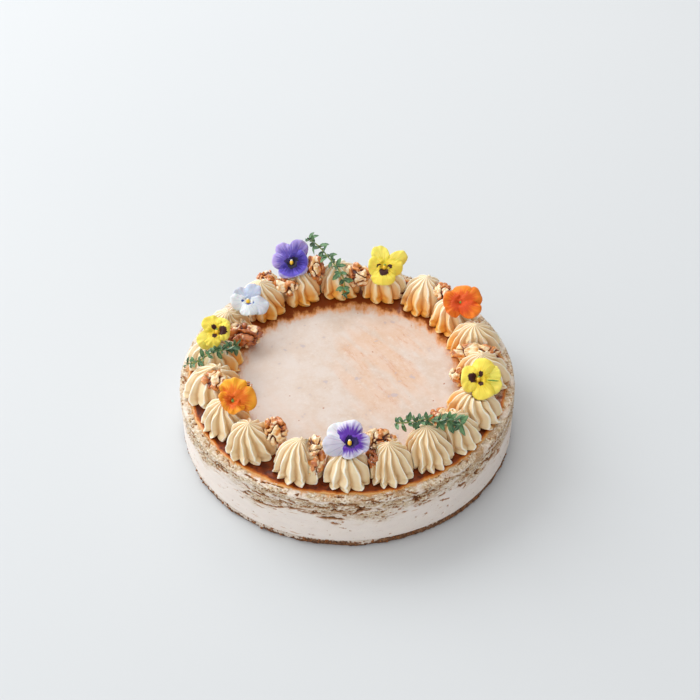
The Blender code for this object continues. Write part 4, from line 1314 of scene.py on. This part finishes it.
def press_behind_flowers(mesh, flowers):
    """What a flower lies on gives way to it."""
    depths = groove_depths(mesh)
    for flower in flowers:
        pose = flower_pose(flower)
        back = pose.inverted()
        for vertex, depth in zip(mesh.vertices, depths):
            local = back @ vertex.co
            if max(abs(local.x), abs(local.y)) > FLOWER_REACH \
                    or not FLOWER_BACK < local.z < FLOWER_FRONT:
                continue
            height, outside = dish_height(flower, local.x, local.y)
            limit = height - PRESS_DEPTH - depth + PRESS_SLOPE * max(0.0, outside)
            if local.z > limit:
                local.z = limit
                vertex.co = pose @ local


def settle_round_nuts(mesh, nuts):
    """Cream that would only just cover a nut goes down into it, and higher cream slopes up."""
    down = Vector((0, 0, -1))
    for tree, low, high in nuts:
        for vertex in mesh.vertices:
            here = vertex.co
            if not (low.x < here.x < high.x and low.y < here.y < high.y):
                continue
            hit = tree.ray_cast(Vector((here.x, here.y, high.z + 5)), down)[0]
            if hit is None:
                continue
            over = here.z - hit.z
            if over > -NUT_SINK:
                slope = (NUT_COVER + NUT_SINK) / (NUT_COVER - NUT_SHOWN)
                settled = min(over, slope * max(0.0, over - NUT_SHOWN) - NUT_SINK)
                vertex.co.z = max(hit.z + settled, SWIRL_FLOOR)


def search_tree(mesh):
    """A search tree over a mesh, with its lowest and highest corners."""
    points = [vertex.co.copy() for vertex in mesh.vertices]
    tree = BVHTree.FromPolygons(points, [list(face.vertices) for face in mesh.polygons])
    low = Vector([min(point[axis] for point in points) for axis in range(3)])
    high = Vector([max(point[axis] for point in points) for axis in range(3)])
    return tree, low, high


def near_flowers(mesh):
    """The flowers that come close to a mesh."""
    middle = sum((vertex.co for vertex in mesh.vertices), Vector()) / len(mesh.vertices)
    return [flower for flower in FLOWERS if (on_cream(flower.eye) - middle).length < FLOWER_NEAR]


# Thyme -------------------------------------------------------------------------------------

def leaf_form(recipe, length, width, thick):
    """A small lens-shaped leaf that starts at the origin and points along +X."""
    inputs = {"Segments": 10, "Rings": 6, "Radius": 1.0}
    ball = recipe.add("GeometryNodeMeshUVSphere", {}, inputs)
    place = recipe.add("GeometryNodeInputPosition")
    x, y, z = recipe.parts(place)
    under = recipe.maths("LESS_THAN", z, -0.2)
    narrow = (1 - 0.9 * x * x) ** 0.5
    across = y * narrow
    arch = z * 0.5 * thick - 0.09 * length * x * x + 0.16 * width * abs(across)
    formed = recipe.joined((x + 1) * 0.5 * length, across * 0.5 * width, arch)
    marked = recipe.store(recipe.store(ball, "under", under), "across", across)
    return recipe.dressed(recipe.moved(marked, Position=formed), LOOKS["leaf"])


# The leaves at each node of a stem: on which side, how far they spread and rise in degrees, and
# how large they are
LEAF_HABITS = ((1, 52, 24, 1.0), (-1, 58, 28, 1.0), (1, 30, 50, 0.72), (-1, 26, 46, 0.72),
               (1, 88, 12, 0.8), (-1, 96, 16, 0.66))
LEAF_THICKNESS = 0.34
NODE_TURN = 64                      # degrees from one pair of leaves to the next along the stem


def sprig_recipe():
    """A stem along a line of points, with a pair of leaves and two small ones at each node."""
    recipe = Recipe("thyme_sprig")
    stem_radius = recipe.size("Stem radius", 0.42)
    leaf_length = recipe.size("Leaf length", 7.2)
    leaf_width = recipe.size("Leaf width", 3.3)
    pairs = recipe.size("Leaf pairs", 8)
    first = recipe.size("First leaves", 1.0)
    last = recipe.size("Last leaves", 1.0)
    seed = recipe.size("Seed", 1)
    line = recipe.add("GeometryNodeMeshToCurve", {}, {"Mesh": recipe.base()})
    inputs = {"Resolution": 8, "Radius": stem_radius}
    ring = recipe.add("GeometryNodeCurvePrimitiveCircle", {}, inputs)
    inputs = {"Curve": line, "Profile Curve": ring, "Fill Caps": True}
    parts = [recipe.dressed(recipe.add("GeometryNodeCurveToMesh", {}, inputs), LOOKS["stem"])]
    nodes = recipe.add("GeometryNodeResampleCurve", {}, {"Curve": line, "Count": pairs})
    along = recipe.add("GeometryNodeSplineParameter")
    fullness = first + (last - first) * along
    order = recipe.add("GeometryNodeInputIndex")
    ahead = recipe.add("GeometryNodeInputTangent")
    facing = recipe.add("FunctionNodeAlignRotationToVector", {"axis": "X"}, {"Vector": ahead})
    leaf = leaf_form(recipe, leaf_length, leaf_width, LEAF_THICKNESS)
    for index, (side, spread, pitch, scale) in enumerate(LEAF_HABITS):
        chance = recipe.chance(seed + index * 7)
        other = recipe.chance(seed + index * 5)
        # Each pair stands across the one before it.
        roll = recipe.maths("MODULO", order, 2.0) * math.radians(NODE_TURN) + 1.1 * (other - 0.5)
        raised = recipe.joined(0.9 * side * (chance - 0.5),
                               -math.radians(pitch) * (0.4 + 1.1 * chance),
                               math.radians(side * spread) * (0.7 + 0.6 * other))
        way = facing
        for turn in (recipe.joined(roll), raised):
            inputs = {"Rotation": way, "Rotate By": turn}
            way = recipe.add("FunctionNodeRotateRotation", {"rotation_space": "LOCAL"}, inputs)
        size = scale * (0.65 + 0.55 * other) * fullness
        inputs = {"Points": nodes, "Instance": leaf, "Rotation": way, "Scale": size}
        parts.append(recipe.add("GeometryNodeInstanceOnPoints", {}, inputs))
    recipe.end(recipe.add("GeometryNodeJoinGeometry", {}, {0: parts}))
    return recipe


def make_sprig(recipe, sprig):
    places = smooth_line([on_cream(point) for point in sprig.route], 6 * sprig.leaf_pairs)
    line = bpy.data.meshes.new("sprig_line")
    line.from_pydata(places, [(step, step + 1) for step in range(len(places) - 1)], [])
    return grow(recipe, line, {"Leaf pairs": sprig.leaf_pairs, "First leaves": sprig.first,
                               "Last leaves": sprig.last, "Seed": sprig.seed})


# Crumbs ------------------------------------------------------------------------------------

def crumb_recipe(material):
    """Loose crumbs scattered where the start mesh is torn."""
    recipe = Recipe("crumbs")
    density = recipe.size("Crumbs a square millimetre", 0.1)
    smallest = recipe.size("Smallest", 0.18)
    largest = recipe.size("Largest", 0.8)
    seed = recipe.size("Seed", 1)
    loose = recipe.add("GeometryNodeInputNamedAttribute", {"data_type": "FLOAT"}, {"Name": "loose"})
    inputs = {"Mesh": recipe.base(), "Density": density * loose, "Seed": seed}
    points = recipe.add("GeometryNodeDistributePointsOnFaces", {}, inputs)
    grit = recipe.add("GeometryNodeMeshIcoSphere", {}, {"Radius": 1.0, "Subdivisions": 2})
    lumps = recipe.add("ShaderNodeTexNoise", {}, {"Scale": 1.7, "Detail": 2.0}, 1)
    lumps = recipe.vectors("SUBTRACT", lumps, (0.5, 0.5, 0.5))
    lumps = recipe.vectors("MULTIPLY", lumps, (2.2, 2.2, 1.4))
    grit = recipe.moved(grit, Offset=lumps)
    turn = recipe.add("FunctionNodeRandomValue", {"data_type": "FLOAT_VECTOR"},
                      {0: (0, 0, 0), 1: (math.tau, math.tau, math.tau), 8: seed})
    size = smallest + (largest - smallest) * recipe.chance(seed + 1) ** 2.5
    inputs = {"Points": points, "Instance": grit, "Rotation": turn, "Scale": size}
    recipe.end(recipe.add("GeometryNodeInstanceOnPoints", {}, inputs), material)
    return recipe


# The whole cake ----------------------------------------------------------------------------

# Loose crumbs: their look, the node they lie on, how many a square millimetre, the largest one's
# radius, and their seed
CRUMBS = (("crumbs_pale", "crumb_pale", "cheese_filling", 0.10, 0.6, 3),
          ("crumbs_brown", "crumb_brown", "cheese_filling", 0.04, 0.5, 8),
          ("crumbs_base", "crumb_brown", "biscuit_base", 0.30, 0.9, 12))
GROUND_SLOTS = {"cheese_filling": "filling", "biscuit_base": "biscuit"}


def dress_cake():
    """Every piece. The nuts come before the cream, which settles round them."""
    grounds = {"cheese_filling": make_filling(), "biscuit_base": make_base()}
    for name, look, node, density, largest, seed in CRUMBS:
        sizes = {"Crumbs a square millimetre": density, "Largest": largest, "Seed": seed}
        crumbs = grow(crumb_recipe(LOOKS[look]), grounds[node].copy(), sizes)
        keep_piece(name, crumbs, GROUND_SLOTS[node], node)
    for node, mesh in grounds.items():
        keep_piece(node + "_looks", mesh, GROUND_SLOTS[node], node)
    keep_piece("caramel_glaze_looks", make_glaze(), "glaze", "caramel_glaze")
    nut_trees = []
    for nut in NUTS:
        mesh = make_nut(nut)
        press_behind_flowers(mesh, near_flowers(mesh))
        nut_trees.append(search_tree(mesh))
        keep_piece(nut.name + "_looks", mesh, "candied_walnut", nut.name)
    recipe = swirl_recipe()
    for index in range(len(SWIRLS)):
        mesh = make_swirl(recipe, index)
        settle_round_nuts(mesh, nut_trees)
        press_behind_flowers(mesh, near_flowers(mesh))
        node = f"cream_{index + 1:02d}"
        keep_piece(node + "_looks", mesh, "cream", node)
    for flower in FLOWERS:
        slot = "petal_orange" if flower.look == "petal_amber" else flower.look
        keep_piece(flower.name + "_looks", make_flower(flower), slot, flower.name)
    recipe = sprig_recipe()
    for sprig in SPRIGS:
        keep_piece(sprig.name + "_looks", make_sprig(recipe, sprig), "thyme", sprig.name)


# Stage -------------------------------------------------------------------------------------

FLOOR_RADIUS = 6.0                  # metres
LIT_PLACE = Vector((0, 0, 0.03))    # what the lamps point at, in metres

# Two wide soft lamps: place and size in metres, power in watts, and colour
LAMPS = (("window_left", (-1.4, 0.95, 1.35), (1.4, 1.4), 27, (0.97, 0.99, 1.0)),
         ("window_back", (0.1, 1.5, 1.45), (1.2, 0.9), 6, (1.0, 0.97, 0.95)))

# An even bright room, a little darker towards the right and the front
ROOM_PALE, ROOM_GREY = (254, 254, 254), (124, 118, 114)
ROOM_WAY = (-0.84, -0.28, 0.45)     # from the darkest side to the brightest one
ROOM_STRENGTH = 1.12

# The photograph's viewing angle, 43 degrees down from 0.94 m away: metres, degrees, millimetres
CAMERA_PLACE = (0, -0.65093, 0.67291)
CAMERA_TURN = (46.730, 0.218, -0.356)
CAMERA_LENS = 77.14
SENSOR_WIDTH = 36


def add_floor():
    """A plain pale floor, wide enough for every view."""
    shape = bmesh.new()
    bmesh.ops.create_circle(shape, cap_ends=True, segments=96, radius=FLOOR_RADIUS)
    look = Shade("floor_look", Roughness=0.6)
    pale = look.mix(look.grain(400, look.here()), (204, 208, 211), (208, 211, 213))
    floor = bpy.data.objects.new("floor", mesh_of("floor", shape, look.paint(pale)))
    bpy.context.scene.collection.objects.link(floor)


def add_light(name, place, size, power, colour):
    lamp = bpy.data.lights.new(name, "AREA")
    lamp.shape = "RECTANGLE"
    lamp.size, lamp.size_y = size
    lamp.energy = power
    lamp.color = colour
    thing = bpy.data.objects.new(name, lamp)
    thing.location = place
    thing.rotation_euler = (LIT_PLACE - Vector(place)).to_track_quat("-Z", "Y").to_euler()
    bpy.context.scene.collection.objects.link(thing)


def add_camera():
    lens = bpy.data.cameras.new("camera")
    lens.sensor_width = SENSOR_WIDTH
    lens.lens = CAMERA_LENS
    camera = bpy.data.objects.new("camera", lens)
    camera.location = CAMERA_PLACE
    camera.rotation_euler = [math.radians(turn) for turn in CAMERA_TURN]
    bpy.context.scene.collection.objects.link(camera)
    bpy.context.scene.camera = camera


def add_room():
    world = bpy.data.worlds.new("room")
    world.use_nodes = True
    nodes = Nodes(world.node_tree)
    background = world.node_tree.nodes["Background"]
    way = nodes.add("ShaderNodeTexCoord", output=0)
    inputs = {0: way, 1: ROOM_WAY}
    side = nodes.add("ShaderNodeVectorMath", {"operation": "DOT_PRODUCT"}, inputs, "Value")
    colour = nodes.mix(nodes.smooth(side, -0.9, 0.9), ROOM_GREY, ROOM_PALE)
    nodes.tree.links.new(colour.socket, background.inputs["Color"])
    background.inputs["Strength"].default_value = ROOM_STRENGTH
    bpy.context.scene.world = world


def set_stage():
    add_floor()
    add_room()
    for lamp in LAMPS:
        add_light(*lamp)
    add_camera()
    bpy.context.scene.view_settings.view_transform = "Standard"


dress_cake()
set_stage()
